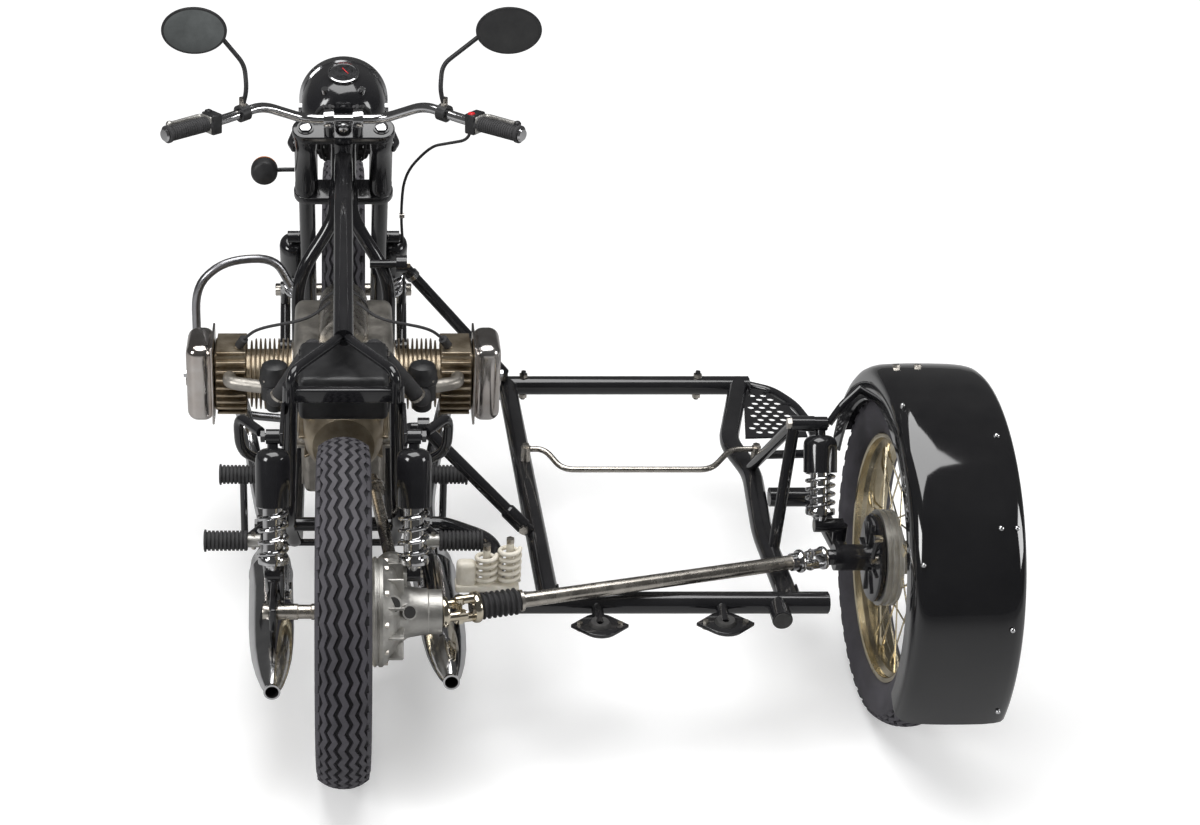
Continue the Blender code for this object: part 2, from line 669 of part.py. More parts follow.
def make_carburettors():
    """Domed throttle body, float bowl, and the hose that comes from the air box."""
    port_out = CASE_WIDTH / 2 + BARREL_LENGTH + HEAD_LENGTH * 0.5
    high = spot(AIR_BOX_HIGH_SHARES)
    for (side, s), share in zip(SIDES, CARB_X_SHARES):
        middle_z = CARB_Z_SHARE * HEAD_Z
        foot = Vector((s * share * TRACK, CARB_Y_SHARE * WHEELBASE, middle_z - CARB_HEIGHT / 2))
        profile = [
            (0, -CARB_HEIGHT * 0.35), (CARB_RADIUS * 0.6, -CARB_HEIGHT * 0.35), (CARB_RADIUS * 0.6, 0),
            (CARB_RADIUS * 0.9, 0), (CARB_RADIUS * 0.9, CARB_HEIGHT * 0.45),
            (CARB_RADIUS, CARB_HEIGHT * 0.5), (CARB_RADIUS * 0.92, CARB_HEIGHT * 0.8),
            (CARB_RADIUS * 0.55, CARB_HEIGHT), (0, CARB_HEIGHT),
        ]
        pieces = [turned(profile, foot, foot + Vector((0, 0, 1)), ROUND)]
        level = foot + Vector((0, 0, CARB_HEIGHT * 0.25))
        port = Vector((s * port_out, cylinder_axis().y - HEAD_SIDE / 2 - SEAT, level.z))
        before = port - Vector((0, 1.5 * HOSE_RADIUS, 0))
        pieces.append(pipe([level, before, port], HOSE_RADIUS * 0.8))
        mouth = Vector((s * high.x * 0.7, high.y + SEAT, high.z - HOSE_RADIUS * 1.5))
        bend = mouth + Vector((0, 2 * HOSE_RADIUS, 0))
        low_bend = level + Vector((0, -2 * CARB_RADIUS, 0))
        pieces.append(pipe([mouth, bend, low_bend, level], HOSE_RADIUS, HOSE_RADIUS))
        combine("carburettor_" + side, pieces, PLASTIC)
    named(block(spot(AIR_BOX_LOW_SHARES, -1), high, HOSE_RADIUS / 2), "air_box", PLASTIC)


HEADER_RADIUS = 0.019
MUFFLER_RADIUS = 0.046
HEADER_SHARES = (
    (0.2170, 0.6000, 0.4050), (0.2120, 0.6350, 0.3300), (0.1900, 0.5900, 0.2450),
    (0.1640, 0.4400, 0.2300),
)
MUFFLER_START_SHARES = ((0.1400, 0.3150, 0.2350), (0.1640, 0.3150, 0.2330))
MUFFLER_TIP_SHARES = ((0.1210, -0.1000, 0.2850), (0.1840, -0.0805, 0.2880))
MUFFLER_SECTION_SHARES = (
    # share of the length, share of the radius
    (0.00, 0.42), (0.04, 0.45), (0.16, 0.94), (0.30, 1.00), (0.62, 1.00), (0.78, 0.88),
    (0.90, 0.60), (1.00, 0.30),
)


def make_exhausts():
    """Header pipe from the front of the head, down and back to a torpedo muffler with an open mouth."""
    axis = cylinder_axis()
    port_out = CASE_WIDTH / 2 + BARREL_LENGTH + HEAD_LENGTH * 0.5
    for i, (side, s) in enumerate(SIDES):
        start, tip = spot(MUFFLER_START_SHARES[i], s), spot(MUFFLER_TIP_SHARES[i], s)
        length = (tip - start).length
        profile = [(0, 0)]
        profile += [(MUFFLER_RADIUS * r, length * h) for h, r in MUFFLER_SECTION_SHARES]
        mouth = MUFFLER_RADIUS * MUFFLER_SECTION_SHARES[-1][1] * 0.75
        depth = MUFFLER_RADIUS
        profile += [(mouth, length), (mouth, length - depth), (0, length - depth)]
        pieces = [turned(profile, start, tip, ROUND)]
        port = Vector((s * port_out, axis.y + HEAD_SIDE / 2 + SEAT, axis.z - HEADER_RADIUS))
        away = port + Vector((0, HEADER_RADIUS, 0))
        inside = start + (tip - start).normalized() * LAP
        pieces.append(pipe([port, away, *spots(HEADER_SHARES, s), inside], HEADER_RADIUS, 3 * HEADER_RADIUS))
        combine("exhaust_" + side, pieces, CHROME)


def make_drive_shaft():
    """Shaft from the gearbox to the pinion, with the round coupling behind the gearbox."""
    tip = REAR_AXLE + Vector((PINION_X, PINION_REACH - LAP, 0))
    lift = CASE_WIDTH * 0.15
    back = BOX_Y_SHARE * WHEELBASE
    box = Vector((CASE_WIDTH * 0.28, back + LAP, TYRE_RADIUS + lift))
    way = (tip - box).normalized()
    pieces = [rod(box, tip, SHAFT_RADIUS, ROUND)]
    disc = box + way * 2 * SHAFT_RADIUS
    pieces.append(rod(disc, disc + way * SHAFT_RADIUS * 1.5, SHAFT_RADIUS * 1.7, ROUND))
    half = CASE_WIDTH / 2
    gearbox = block((-half, back - SEAT, box.z - half), (half, back + SPILL, box.z + half))
    combine("drive_shaft", pieces, STEEL, [pinion_neck(SEAT), gearbox])


# Footrests and guard

PEG_RADIUS = 0.021
PEG_LENGTH = 0.085
PEG_RIBS = 3
RIDER_PEG_SHARES = (0.1600, 0.3700, 0.3720)
PASSENGER_PEG_SHARES = (0.1740, 0.1680, 0.3900)


def peg(start, s):
    """A ribbed rubber rest pointing outward."""
    profile = [(0, 0)]
    step = PEG_LENGTH / PEG_RIBS
    for i in range(PEG_RIBS):
        base = step * i
        profile += [(PEG_RADIUS, base), (PEG_RADIUS * 0.85, base + step * 0.85)]
    rim = PEG_LENGTH * 1.06
    profile += [(PEG_RADIUS * 1.1, PEG_LENGTH), (PEG_RADIUS * 1.1, rim), (0, rim)]
    return turned(profile, start, start + Vector((s, 0, 0)), COARSE)


def make_pegs():
    """The rider's rests share a bar under the bottom rails, the passenger's stand on the rails' bends."""
    bar = STAY_TUBE * 0.8
    left, right = spot(RIDER_PEG_SHARES, -1), spot(RIDER_PEG_SHARES, 1)
    low = spot(RAIL_SHARES[3]).z - FRAME_TUBE - SEAT - bar
    rise = Vector((PEG_LENGTH * 0.45, 0, 0))
    ends = [left - rise, right + rise]
    knees = [Vector((end.x, end.y, low)) for end in ends]
    path = [ends[0], *knees, ends[1]]
    combine("rider_pegs", [pipe(path, bar, 3 * bar), peg(left, -1), peg(right, 1)], RUBBER)
    for side, s in SIDES:
        start = spot(PASSENGER_PEG_SHARES, s)
        low, high = spot(RAIL_SHARES[4], s), spot(RAIL_SHARES[5], s)
        foot = low.lerp(high, 0.65) + Vector((s * (FRAME_TUBE + SEAT), 0, 0))
        knee = foot + Vector((s * 2 * STAY_TUBE, 0, 0))
        stem = pipe([foot, knee, start + Vector((s * 2 * LAP, 0, 0))], bar, STAY_TUBE)
        combine("passenger_peg_" + side, [stem, peg(start, s)], RUBBER)


GUARD_SHARES = (
    (0.1075, 0.6644, 0.6500), (0.1400, 0.6644, 0.7300), (0.2400, 0.6450, 0.7350), (0.3000, 0.6380, 0.6700),
    (0.3000, 0.6380, 0.4800), (0.2300, 0.6600, 0.2800), (0.1085, 0.6644, 0.2600),
)


def make_guard():
    """Crash bar round the front of the left cylinder, between two lugs on the down tube."""
    made = pipe(spots(GUARD_SHARES, -1), STAY_TUBE, 6 * STAY_TUBE, steps=3)
    rail = spots(RAIL_SHARES, -1)
    cutter = pipe(rail[:4], FRAME_TUBE + SEAT, 4 * FRAME_TUBE)
    combine("engine_guard", [made], STEEL, [cutter])


# Steering: a leading-link fork on two crowns, turning in the head tube

LEG_X = 0.085
LEG_RADIUS = 0.019
SHROUD_RADIUS = 0.027
SHROUD_LENGTH = 0.190
CROWN_REACH = 0.030
CROWN_THICK = 0.022
CROWN_GAP = 0.005
KNOB_RADIUS = 0.019
LINK_PIVOT = (-0.020, -0.745)         # ahead of the steering axis, up from the head point
LINK_RADIUS = 0.013
FRONT_SHOCK_X = 0.122
FRONT_SHOCK_TOP = (0.045, -0.375)
FRONT_SHOCK_FOOT = (0.095, -0.665)
BAR_RADIUS = 0.011
RISER_X = 0.032
BAR_MIDDLE_SHARES = (0, 0.6376, 1.1200)


def axle_ahead_up():
    gap = FRONT_AXLE - HEAD_POINT
    return gap.dot(ACROSS), gap.dot(HEAD_WAY)


def crown(up):
    """A flat yoke across the two legs."""
    outline = arc((LEG_X, 0), CROWN_REACH, 90, -90, 6) + arc((-LEG_X, 0), CROWN_REACH, -90, -270, 6)
    turn = Matrix.Translation(on_head(0, 0, up)) @ Matrix.Rotation(RAKE, 4, "X")
    return plate(outline, CROWN_THICK, turn)


def make_fork():
    """Stem, crowns, shrouded legs, pivots for the links, and the clamps that carry the handlebar."""
    high = HEAD_HIGH + CROWN_GAP
    low = HEAD_LOW - CROWN_GAP - CROWN_THICK
    pieces = [crown(high), crown(low)]
    pieces.append(rod(on_head(0, 0, low + LAP), on_head(0, 0, high + LAP), STEM_RADIUS))
    knob_top = high + CROWN_THICK + KNOB_RADIUS * 1.3
    pieces.append(rod(on_head(0, 0, high + LAP), on_head(0, 0, knob_top), KNOB_RADIUS, COARSE))
    ahead, up = LINK_PIVOT
    top_ahead, top_up = FRONT_SHOCK_TOP
    inner = FRONT_SHOCK_X - EYE_WIDTH / 2 - SEAT
    outer = FRONT_SHOCK_X + EYE_WIDTH / 2
    middle = spot(BAR_MIDDLE_SHARES)
    for _, s in SIDES:
        x = s * LEG_X
        line = [on_head(x, 0, high + CROWN_THICK + LAP), on_head(x, 0, up * 0.86), on_head(x, ahead, up)]
        pieces.append(pipe(line, LEG_RADIUS, LEG_RADIUS, extra=3))
        pieces.append(rod(on_head(x, 0, high + LAP), on_head(x, 0, high - SHROUD_LENGTH), SHROUD_RADIUS, 12))
        near = x - s * PIN_RADIUS
        pieces.append(rod(on_head(near, ahead, up), on_head(s * outer, ahead, up), LEG_RADIUS, 12))
        pieces.append(rod(on_head(x, 0, top_up), on_head(x, top_ahead, top_up), EYE_RADIUS * 0.9, COARSE))
        near = x - s * EYE_RADIUS
        pieces.append(rod(on_head(near, top_ahead, top_up), on_head(s * inner, top_ahead, top_up), EYE_RADIUS, COARSE))
        pieces.append(rod(on_head(x, top_ahead, top_up), on_head(s * outer, top_ahead, top_up), PIN_RADIUS, COARSE))
        riser = middle + Vector((s * RISER_X, 0, 0))
        foot = on_head(s * RISER_X, -CROWN_REACH * 0.5, high + CROWN_THICK - LAP)
        pieces.append(rod(foot, riser, BAR_RADIUS * 1.1, COARSE))
        pieces.append(along_x(riser, -BAR_RADIUS, BAR_RADIUS, BAR_RADIUS * 1.9, 12))
    bar = along_x(middle, -SPILL, SPILL, BAR_RADIUS + RUN)
    combine("fork", pieces, BLACK, [bar])


def make_front_links():
    """An arm a side from the pivot behind the wheel to the axle between them, and the shock absorbers."""
    ahead, up = LINK_PIVOT
    axle_ahead, axle_up = axle_ahead_up()
    foot_ahead, foot_up = FRONT_SHOCK_FOOT
    middle = FRONT_SHOCK_X + EYE_WIDTH / 2 + SEAT + LINK_RADIUS
    hub = HUB_WIDTH / 2 + RUN
    outer = middle + LINK_RADIUS + NUT_LENGTH
    half = [(AXLE_RADIUS, hub), (NUT_RADIUS, hub), (NUT_RADIUS, outer), (0, outer)]
    profile = [(r, -h) for r, h in reversed(half)] + half
    pieces = [turned(profile, FRONT_AXLE, FRONT_AXLE + Vector((1, 0, 0)))]
    reach = Vector((LINK_RADIUS, 0, 0))
    for side, s in SIDES:
        x = s * middle
        pivot, end = on_head(x, ahead, up), on_head(x, axle_ahead, axle_up)
        pieces.append(pipe([pivot, end], LINK_RADIUS))
        for centre in (pivot, end):
            pieces.append(rod(centre - reach, centre + reach, LINK_RADIUS * 1.6, ROUND))
        t = (foot_ahead - ahead) / (axle_ahead - ahead)
        base = on_head(x, foot_ahead, up + (axle_up - up) * t)
        top = on_head(x, foot_ahead, foot_up + PIN_RADIUS)
        pieces.append(rod(base, top, LINK_RADIUS * 0.9, COARSE))
        pin = on_head(x, foot_ahead, foot_up)
        tip = on_head(s * (FRONT_SHOCK_X - EYE_WIDTH / 2), foot_ahead, foot_up)
        pieces.append(rod(pin, tip, PIN_RADIUS, COARSE))
        foot = on_head(s * FRONT_SHOCK_X, foot_ahead, foot_up)
        head = on_head(s * FRONT_SHOCK_X, *FRONT_SHOCK_TOP)
        make_shock("front_shock_" + side, foot, head, (1, 0, 0), 4, 0.48)
    combine("front_links", pieces, BLACK)


BAR_SHARES = (
    # right half of the handlebar, from its straight middle outward
    (0.0750, 0.6376, 1.1200), (0.1560, 0.6040, 1.1744), (0.2208, 0.5638, 1.1667),
)
BAR_END_SHARES = (0.3240, 0.4930, 1.1722)
GRIP_RADIUS = 0.0165
GRIP_LENGTH = 0.110
SWITCH_SIZE = (0.028, 0.040, 0.044)


def bar_line(s):
    """Start and end of the straight part of the bar that carries the grip."""
    return spot(BAR_SHARES[-1], s), spot(BAR_END_SHARES, s)


def make_handlebar():
    """One bent tube, grips on its ends, and the levers with their switch boxes."""
    left = [spot(BAR_END_SHARES, -1), *reversed(spots(BAR_SHARES, -1))]
    right = [*spots(BAR_SHARES, 1), spot(BAR_END_SHARES, 1)]
    named(pipe([*left, *right], BAR_RADIUS, BAR_RADIUS, extra=2), "handlebar", CHROME)
    bore = BAR_RADIUS + RUN
    for side, s in SIDES:
        start, end = bar_line(s)
        way = (end - start).normalized()
        lip = GRIP_LENGTH + LAP
        profile = [
            (0, 0), (GRIP_RADIUS * 1.2, 0), (GRIP_RADIUS * 1.2, LAP), (GRIP_RADIUS, 2 * LAP),
            (GRIP_RADIUS, GRIP_LENGTH), (GRIP_RADIUS * 1.15, lip), (0, lip),
        ]
        base = end - way * (GRIP_LENGTH - LAP)
        grip = turned(profile, base, end, ROUND)
        length, deep, tall = SWITCH_SIZE
        box_at = base - way * (length / 2 - LAP)
        body = brick((0, 0, 0), (deep, tall, length), LAP)
        body.data.transform(placing(box_at, box_at + way))
        perch = box_at + Vector((0, deep * 0.4, 0))
        knee = perch + Vector((s * length, deep * 0.9, -tall * 0.1))
        tip = end + Vector((s * LAP, deep * 1.7, -tall * 0.1))
        lever = pipe([perch, knee, tip], BAR_RADIUS * 0.5, BAR_RADIUS, extra=1)
        ball_end = tip + Vector((s * BAR_RADIUS, -BAR_RADIUS / 2, 0))
        ball = rod(tip, ball_end, BAR_RADIUS * 0.75, COARSE)
        hole = rod(start - way * SPILL, end + way * SEAT, bore)
        combine("grip_" + side, [grip, body, lever, ball], RUBBER, [hole])


MIRROR_X_SHARES = (0.2792, 0.3092)
MIRROR_Y_SHARE = 0.5772
MIRROR_Z_SHARE = 1.3750
MIRROR_STEM_SHARES = ((0.1830, 0.5772, 1.2300), (0.1870, 0.5906, 1.2850))
MIRROR_WIDTH = 0.140
MIRROR_RISE = 0.105
MIRROR_DEPTH = 0.032
MIRROR_STEM = 0.005
MIRROR_SHELL_SHARES = ((0, 0), (0.92, 0), (1.0, 0.15), (0.88, 0.62), (0.5, 0.95), (0, 1.0))


def make_mirrors():
    """Clamp, thin stem and oval head whose flat glass looks back."""
    for i, (side, s) in enumerate(SIDES):
        start, _ = bar_line(s)
        back = spot(BAR_SHARES[1], s)
        clamp = back.lerp(start, 0.55)
        way = (start - back).normalized()
        head = Vector((s * MIRROR_X_SHARES[i] * TRACK, MIRROR_Y_SHARE * WHEELBASE, MIRROR_Z_SHARE * HEAD_Z))
        root = head + Vector((-s * MIRROR_WIDTH * 0.3, MIRROR_DEPTH * 0.5, 0))
        stem = [clamp + Vector((0, 0, BAR_RADIUS * 1.3)), *spots(MIRROR_STEM_SHARES, s), root]
        pieces = [pipe(stem, MIRROR_STEM, 4 * MIRROR_STEM, extra=1)]
        pieces.append(rod(clamp - way * BAR_RADIUS, clamp + way * BAR_RADIUS, BAR_RADIUS * 1.7, 12))
        shell = turned(MIRROR_SHELL_SHARES, (0, 0, 0), (0, 0, 1), FINE)
        scale = Matrix.Diagonal((MIRROR_WIDTH / 2, MIRROR_RISE / 2, MIRROR_DEPTH, 1))
        face = Matrix.Translation(head) @ Matrix.Rotation(math.radians(-90), 4, "X")
        shell.data.transform(face @ scale)
        pieces.append(shell)
        hole = rod(clamp - way * SPILL, clamp + way * SPILL, BAR_RADIUS + RUN)
        combine("mirror_" + side, pieces, PLASTIC, [hole])


LAMP_RADIUS = 0.098
LAMP_BACK_SHARES = (0, 0.7450, 1.0430)
LAMP_LENGTH = 0.165
LAMP_GLASS = 0.014
METER_RADIUS = 0.036


def make_headlamp():
    """Round shell with a meter on top, its two ears, and the glass in front."""
    back = spot(LAMP_BACK_SHARES)
    front = back + Vector((0, LAMP_LENGTH, 0))
    r = LAMP_RADIUS
    long = LAMP_LENGTH
    profile = [
        (0, 0), (r * 0.45, r * 0.03), (r * 0.78, r * 0.22), (r * 0.95, r * 0.55), (r, r), (r, long * 0.92),
        (r * 1.06, long * 0.93), (r * 1.06, long), (r * 0.95, long),
        (r * 0.95, long - LAMP_GLASS), (0, long - LAMP_GLASS),
    ]
    pieces = [turned(profile, back, front, FINE)]
    meter = back + Vector((0, r * 0.75, r * 0.62))
    pieces.append(rod(meter, meter + Vector((0, -r * 0.16, r * 0.42)), METER_RADIUS, ROUND))
    cutters = []
    for _, s in SIDES:
        leg = on_head(s * LEG_X, 0, 0)
        turn_at = leg + Vector((s * (SHROUD_RADIUS + STAY_TUBE), r * 0.4, 0))
        seat = back + Vector((s * r * 0.9, r, 0))
        pieces.append(pipe([leg, turn_at, seat], STAY_TUBE * 0.7, STAY_TUBE, extra=1))
        cutters.append(rod(on_head(s * LEG_X, 0, -SPILL), on_head(s * LEG_X, 0, SPILL), SHROUD_RADIUS + SEAT, 12))
    combine("headlamp", pieces, BLACK, cutters)
    glass = front - Vector((0, LAMP_GLASS - SEAT, 0))
    inner = r * 0.95 - SEAT * 3
    dome = [(0, 0), (inner, 0), (inner, LAMP_GLASS), (inner * 0.6, LAMP_GLASS * 1.7), (0, LAMP_GLASS * 2)]
    named(turned(dome, glass, glass + Vector((0, 1, 0)), FINE), "headlamp_glass", GLASS)


INDICATOR_SHARES = (0.1600, 0.7200, 0.9300)
INDICATOR_RADIUS = 0.031


def make_indicator():
    """Round lamp on a short stem, on the left only."""
    centre = spot(INDICATOR_SHARES, -1)
    r = INDICATOR_RADIUS
    back = centre + Vector((0, -r * 0.8, 0))
    profile = [(0, 0), (r * 0.8, 0), (r, r * 0.4), (r, r * 1.2), (r * 0.7, r * 1.7), (0, r * 1.7)]
    pieces = [turned(profile, back, back + Vector((0, 1, 0)), ROUND)]
    leg = on_head(-LEG_X, 0, (centre.z - HEAD_Z) / math.cos(RAKE))
    knee = Vector((centre.x + r * 1.4, leg.y, leg.z))
    pieces.append(pipe([leg, knee, centre], STAY_TUBE * 0.5, STAY_TUBE, extra=1))
    way = HEAD_WAY * SPILL
    combine("indicator_left", pieces, PLASTIC, [rod(leg - way, leg + way, SHROUD_RADIUS + SEAT, 12)])


# Sidecar chassis

DECK_Z_SHARE = 0.3280
FRONT_TUBE_SHARES = ((0.3200, 0.7034, DECK_Z_SHARE), (0.8570, 0.7034, DECK_Z_SHARE))
LEFT_RAIL_Y_SHARES = (0.7034, 0.0651)
LEFT_RAIL_X_SHARES = (0.3463, 0.3657)
RIGHT_RAIL_SHARES = (
    (0.8370, 0.7034, DECK_Z_SHARE), (0.7756, 0.5148, DECK_Z_SHARE), (0.8030, 0.4221, DECK_Z_SHARE),
    (0.7845, 0.2510, DECK_Z_SHARE), (0.7925, 0.0700, DECK_Z_SHARE),
)
REAR_TUBE_SHARES = ((0.2300, 0.0700, DECK_Z_SHARE), (0.8600, 0.0700, DECK_Z_SHARE))
PLUG_SHARES = (0.7700, 0.0270, DECK_Z_SHARE)
MOUNT_SHARES = ((0.4487, 0.0195, 0.3170), (0.6696, 0.0240, 0.3170))
MOUNT_LENGTH = 0.116
MOUNT_DEPTH = 0.078
MOUNT_THICK = 0.008
REAR_LINK_SHARES = (
    (0.2780, 0.0780, DECK_Z_SHARE), (0.2780, 0.2200, 0.3350), (0.1900, 0.2685, 0.3333), (0.1660, 0.2685, 0.3333),
)


def left_rail():
    front_x, back_x = [share * TRACK for share in LEFT_RAIL_X_SHARES]
    front, rear = spot(FRONT_TUBE_SHARES[0]), spot(REAR_TUBE_SHARES[0])
    return [Vector((front_x, front.y, front.z)), Vector((back_x, rear.y, rear.z))]


def chassis_pipe(path, grow=0.0):
    """A tube of the sidecar's frame, or a cutter a little larger."""
    return pipe(path, CHASSIS_TUBE + grow, 2 * CHASSIS_TUBE, extra=2)


def rail_cutter():
    return chassis_pipe(spots(RIGHT_RAIL_SHARES), SEAT)


def make_sidecar_frame():
    """Two cross tubes and two rails; the right rail is cranked beside the step."""
    r = CHASSIS_TUBE
    front, rear = spots(FRONT_TUBE_SHARES), spots(REAR_TUBE_SHARES)
    named(chassis_pipe(front), "sidecar_front_tube", BLACK)
    rows = (("sidecar_left_rail", left_rail()), ("sidecar_right_rail", spots(RIGHT_RAIL_SHARES)))
    for name, path in rows:
        ends = [chassis_pipe(front, SEAT), chassis_pipe(rear, SEAT)]
        combine(name, [chassis_pipe(path)], BLACK, ends)
    z = DECK_Z_SHARE * HEAD_Z
    pieces = [chassis_pipe(rear)]
    plug = spot(PLUG_SHARES)
    pieces.append(rod(Vector((plug.x, rear[0].y, plug.z)), plug, r * 0.9, ROUND))
    half, deep = MOUNT_LENGTH / 2, MOUNT_DEPTH / 2
    outline = [(-half, 0), *arc((0, 0), deep, 230, 310, 3), (half, 0), *arc((0, 0), deep, 50, 130, 3)]
    for shares in MOUNT_SHARES:
        centre = spot(shares)
        pieces.append(plate(outline, MOUNT_THICK, Matrix.Translation(centre)))
        base = centre + Vector((0, 0, MOUNT_THICK / 2))
        pieces.append(rod(base, (centre.x, rear[0].y - r / 2, z), MOUNT_THICK * 1.5, COARSE))
        pieces.append(rod(base, centre + Vector((0, 0, 2 * MOUNT_THICK)), deep / 2, 12))
    pieces.append(pipe(spots(REAR_LINK_SHARES), r * 0.75, 2 * r))
    combine("sidecar_rear_tube", pieces, BLACK)


STEP_SHARES = (
    # outline of the perforated plate, shares of track and wheelbase
    (0.8450, 0.6930), (0.8900, 0.6750), (0.9220, 0.6350), (0.9400, 0.5850), (0.9400, 0.5300),
    (0.8130, 0.5250),
)
STEP_BAR_SHARES = (
    (0.8600, 0.7034), (0.9050, 0.6850), (0.9400, 0.6350), (0.9560, 0.5700), (0.9520, 0.4800),
    (0.8250, 0.4750),
)
STEP_THICK = 0.004
STEP_HOLE = 0.0115
STEP_PITCH = 0.033


def inside(point, outline, margin):
    """Whether a point lies in a convex outline, at least a margin from its sides."""
    away = []
    for a, b in zip(outline, outline[1:] + outline[:1]):
        cross = (b[0] - a[0]) * (point[1] - a[1]) - (b[1] - a[1]) * (point[0] - a[0])
        away.append(cross / math.dist(a, b))
    return min(away) > margin or max(away) < -margin


def step_holes(outline, z):
    """Staggered square holes, point to point, over the whole plate."""
    holes = []
    low_x, low_y = [min(p[i] for p in outline) for i in (0, 1)]
    high_x, high_y = [max(p[i] for p in outline) for i in (0, 1)]
    rise = STEP_PITCH * 0.6
    for row in range(int((high_y - low_y) / rise) + 1):
        shift = STEP_PITCH / 2 if row % 2 else 0
        for column in range(int((high_x - low_x) / STEP_PITCH) + 1):
            x, y = low_x + shift + column * STEP_PITCH, low_y + row * rise
            if inside((x, y), outline, STEP_HOLE * 1.4):
                holes.append(rod((x, y, z - STEP_THICK), (x, y, z + 2 * STEP_THICK), STEP_HOLE, 4))
    return holes


def make_step():
    """Quarter-round tread plate with staggered holes inside its edge tube."""
    z = DECK_Z_SHARE * HEAD_Z
    outline = [(x * TRACK, y * WHEELBASE) for x, y in STEP_SHARES]
    sheet = plate(outline, STEP_THICK, Matrix.Translation((0, 0, z)))
    edge = [Vector((x * TRACK, y * WHEELBASE, z)) for x, y in STEP_BAR_SHARES]
    tabs = []
    for i, j in ((1, 1), (2, 2), (3, 3)):
        corner = Vector((*outline[i], z + STEP_THICK / 2))
        inner = corner + (corner - edge[j]).normalized() * STAY_TUBE
        tabs.append(rod(inner, edge[j], STAY_TUBE * 0.5, COARSE))
    bar = pipe(edge, STAY_TUBE, STAY_TUBE, extra=1)
    front_y = FRONT_TUBE_SHARES[0][1] * WHEELBASE
    front_x = FRONT_TUBE_SHARES[1][0] * TRACK
    cutters = [rail_cutter(), chassis_pipe([(0, front_y, z), (front_x + SEAT, front_y, z)], SEAT)]
    combine("sidecar_step", [bar, sheet, *tabs], BLACK, step_holes(outline, z) + cutters)


ROD_RADIUS = 0.0065
ROD_SHARES = (
    # bright cranked rod between the two rails
    (0.3580, 0.4322, 0.3850), (0.3950, 0.4322, 0.3850), (0.4250, 0.3900, 0.3667), (0.7150, 0.3900, 0.3667),
    (0.7600, 0.4322, 0.3850), (0.8100, 0.4322, 0.3850),
)


def make_cross_rod():
    """Bright rod across the deck, held by a post on each rail."""
    rail_top = DECK_Z_SHARE * HEAD_Z + CHASSIS_TUBE + SEAT
    path = spots(ROD_SHARES)
    pieces = [pipe(path, ROD_RADIUS, 3 * ROD_RADIUS)]
    for end in (path[0], path[-1]):
        foot = (end.x, end.y, rail_top)
        pieces.append(rod(foot, end + Vector((0, 0, ROD_RADIUS)), ROD_RADIUS * 1.6, COARSE))
    combine("sidecar_cross_rod", pieces, STEEL)


ARM_PIVOT_Y_SHARE = 0.3500
ARM_X = -0.110         # middle of the arm, from the wheel's middle
PLATE_RADIUS = 0.090
PLATE_THICK = 0.012
SIDE_SHOCK_X = -0.152  # from the wheel's middle
SIDE_FOOT_SHARES = (0.1745, 0.4250)
SIDE_TOP_SHARES = (0.2400, 0.6300)


def make_sidecar_arm():
    """Arm from the rail back to the wheel's axle, with the brake plate and the shock's pin."""
    z = DECK_Z_SHARE * HEAD_Z
    middle = THIRD_AXLE.x + ARM_X
    base = Vector((middle, ARM_PIVOT_Y_SHARE * WHEELBASE, z))
    end = THIRD_AXLE + Vector((ARM_X, 0, 0))
    pieces = [pipe([base, end], ARM_TUBE * 1.2, extra=2)]
    rail = spot(RIGHT_RAIL_SHARES[2])
    pieces.append(rod((rail.x, base.y, z), base + Vector((2 * ARM_TUBE, 0, 0)), ARM_TUBE * 1.4, ROUND))
    hub = HUB_WIDTH / 2 + RUN
    boss_from = ARM_X - 1.5 * ARM_TUBE
    profile = [
        (0, boss_from - NUT_LENGTH), (NUT_RADIUS, boss_from - NUT_LENGTH), (NUT_RADIUS, boss_from),
        (ARM_TUBE * 1.8, boss_from), (ARM_TUBE * 1.8, -hub), (AXLE_RADIUS, -hub), (AXLE_RADIUS, hub),
        (NUT_RADIUS, hub), (NUT_RADIUS, hub + NUT_LENGTH), (0, hub + NUT_LENGTH),
    ]
    pieces.append(turned(profile, THIRD_AXLE, THIRD_AXLE + Vector((1, 0, 0))))
    plate_out = -hub - 5 * SEAT
    pieces.append(along_x(THIRD_AXLE, plate_out - PLATE_THICK, plate_out, PLATE_RADIUS, FINE))
    shock = THIRD_AXLE.x + SIDE_SHOCK_X
    pin = Vector((shock, SIDE_FOOT_SHARES[0] * WHEELBASE, SIDE_FOOT_SHARES[1] * HEAD_Z))
    pieces.append(along_x(pin, -EYE_WIDTH / 2, middle - shock, PIN_RADIUS, COARSE))
    pieces.append(along_x(pin, EYE_WIDTH / 2 + SEAT, middle - shock + LAP, EYE_RADIUS, COARSE))
    pieces.append(rod((middle, pin.y, pin.z), (middle, pin.y, TYRE_RADIUS - ARM_TUBE), EYE_RADIUS, COARSE))
    combine("sidecar_arm", pieces, BLACK, [rail_cutter()])


TOWER_SHARES = (
    # feet of the struts that hold the shock absorber's top
    (0.7900, 0.1900, DECK_Z_SHARE), (0.7980, 0.4300, DECK_Z_SHARE),
)


def side_shock_ends():
    """Foot and top of the sidecar's shock absorber."""
    shock = THIRD_AXLE.x + SIDE_SHOCK_X
    foot = Vector((shock, SIDE_FOOT_SHARES[0] * WHEELBASE, SIDE_FOOT_SHARES[1] * HEAD_Z))
    top = Vector((shock, SIDE_TOP_SHARES[0] * WHEELBASE, SIDE_TOP_SHARES[1] * HEAD_Z))
    return foot, top


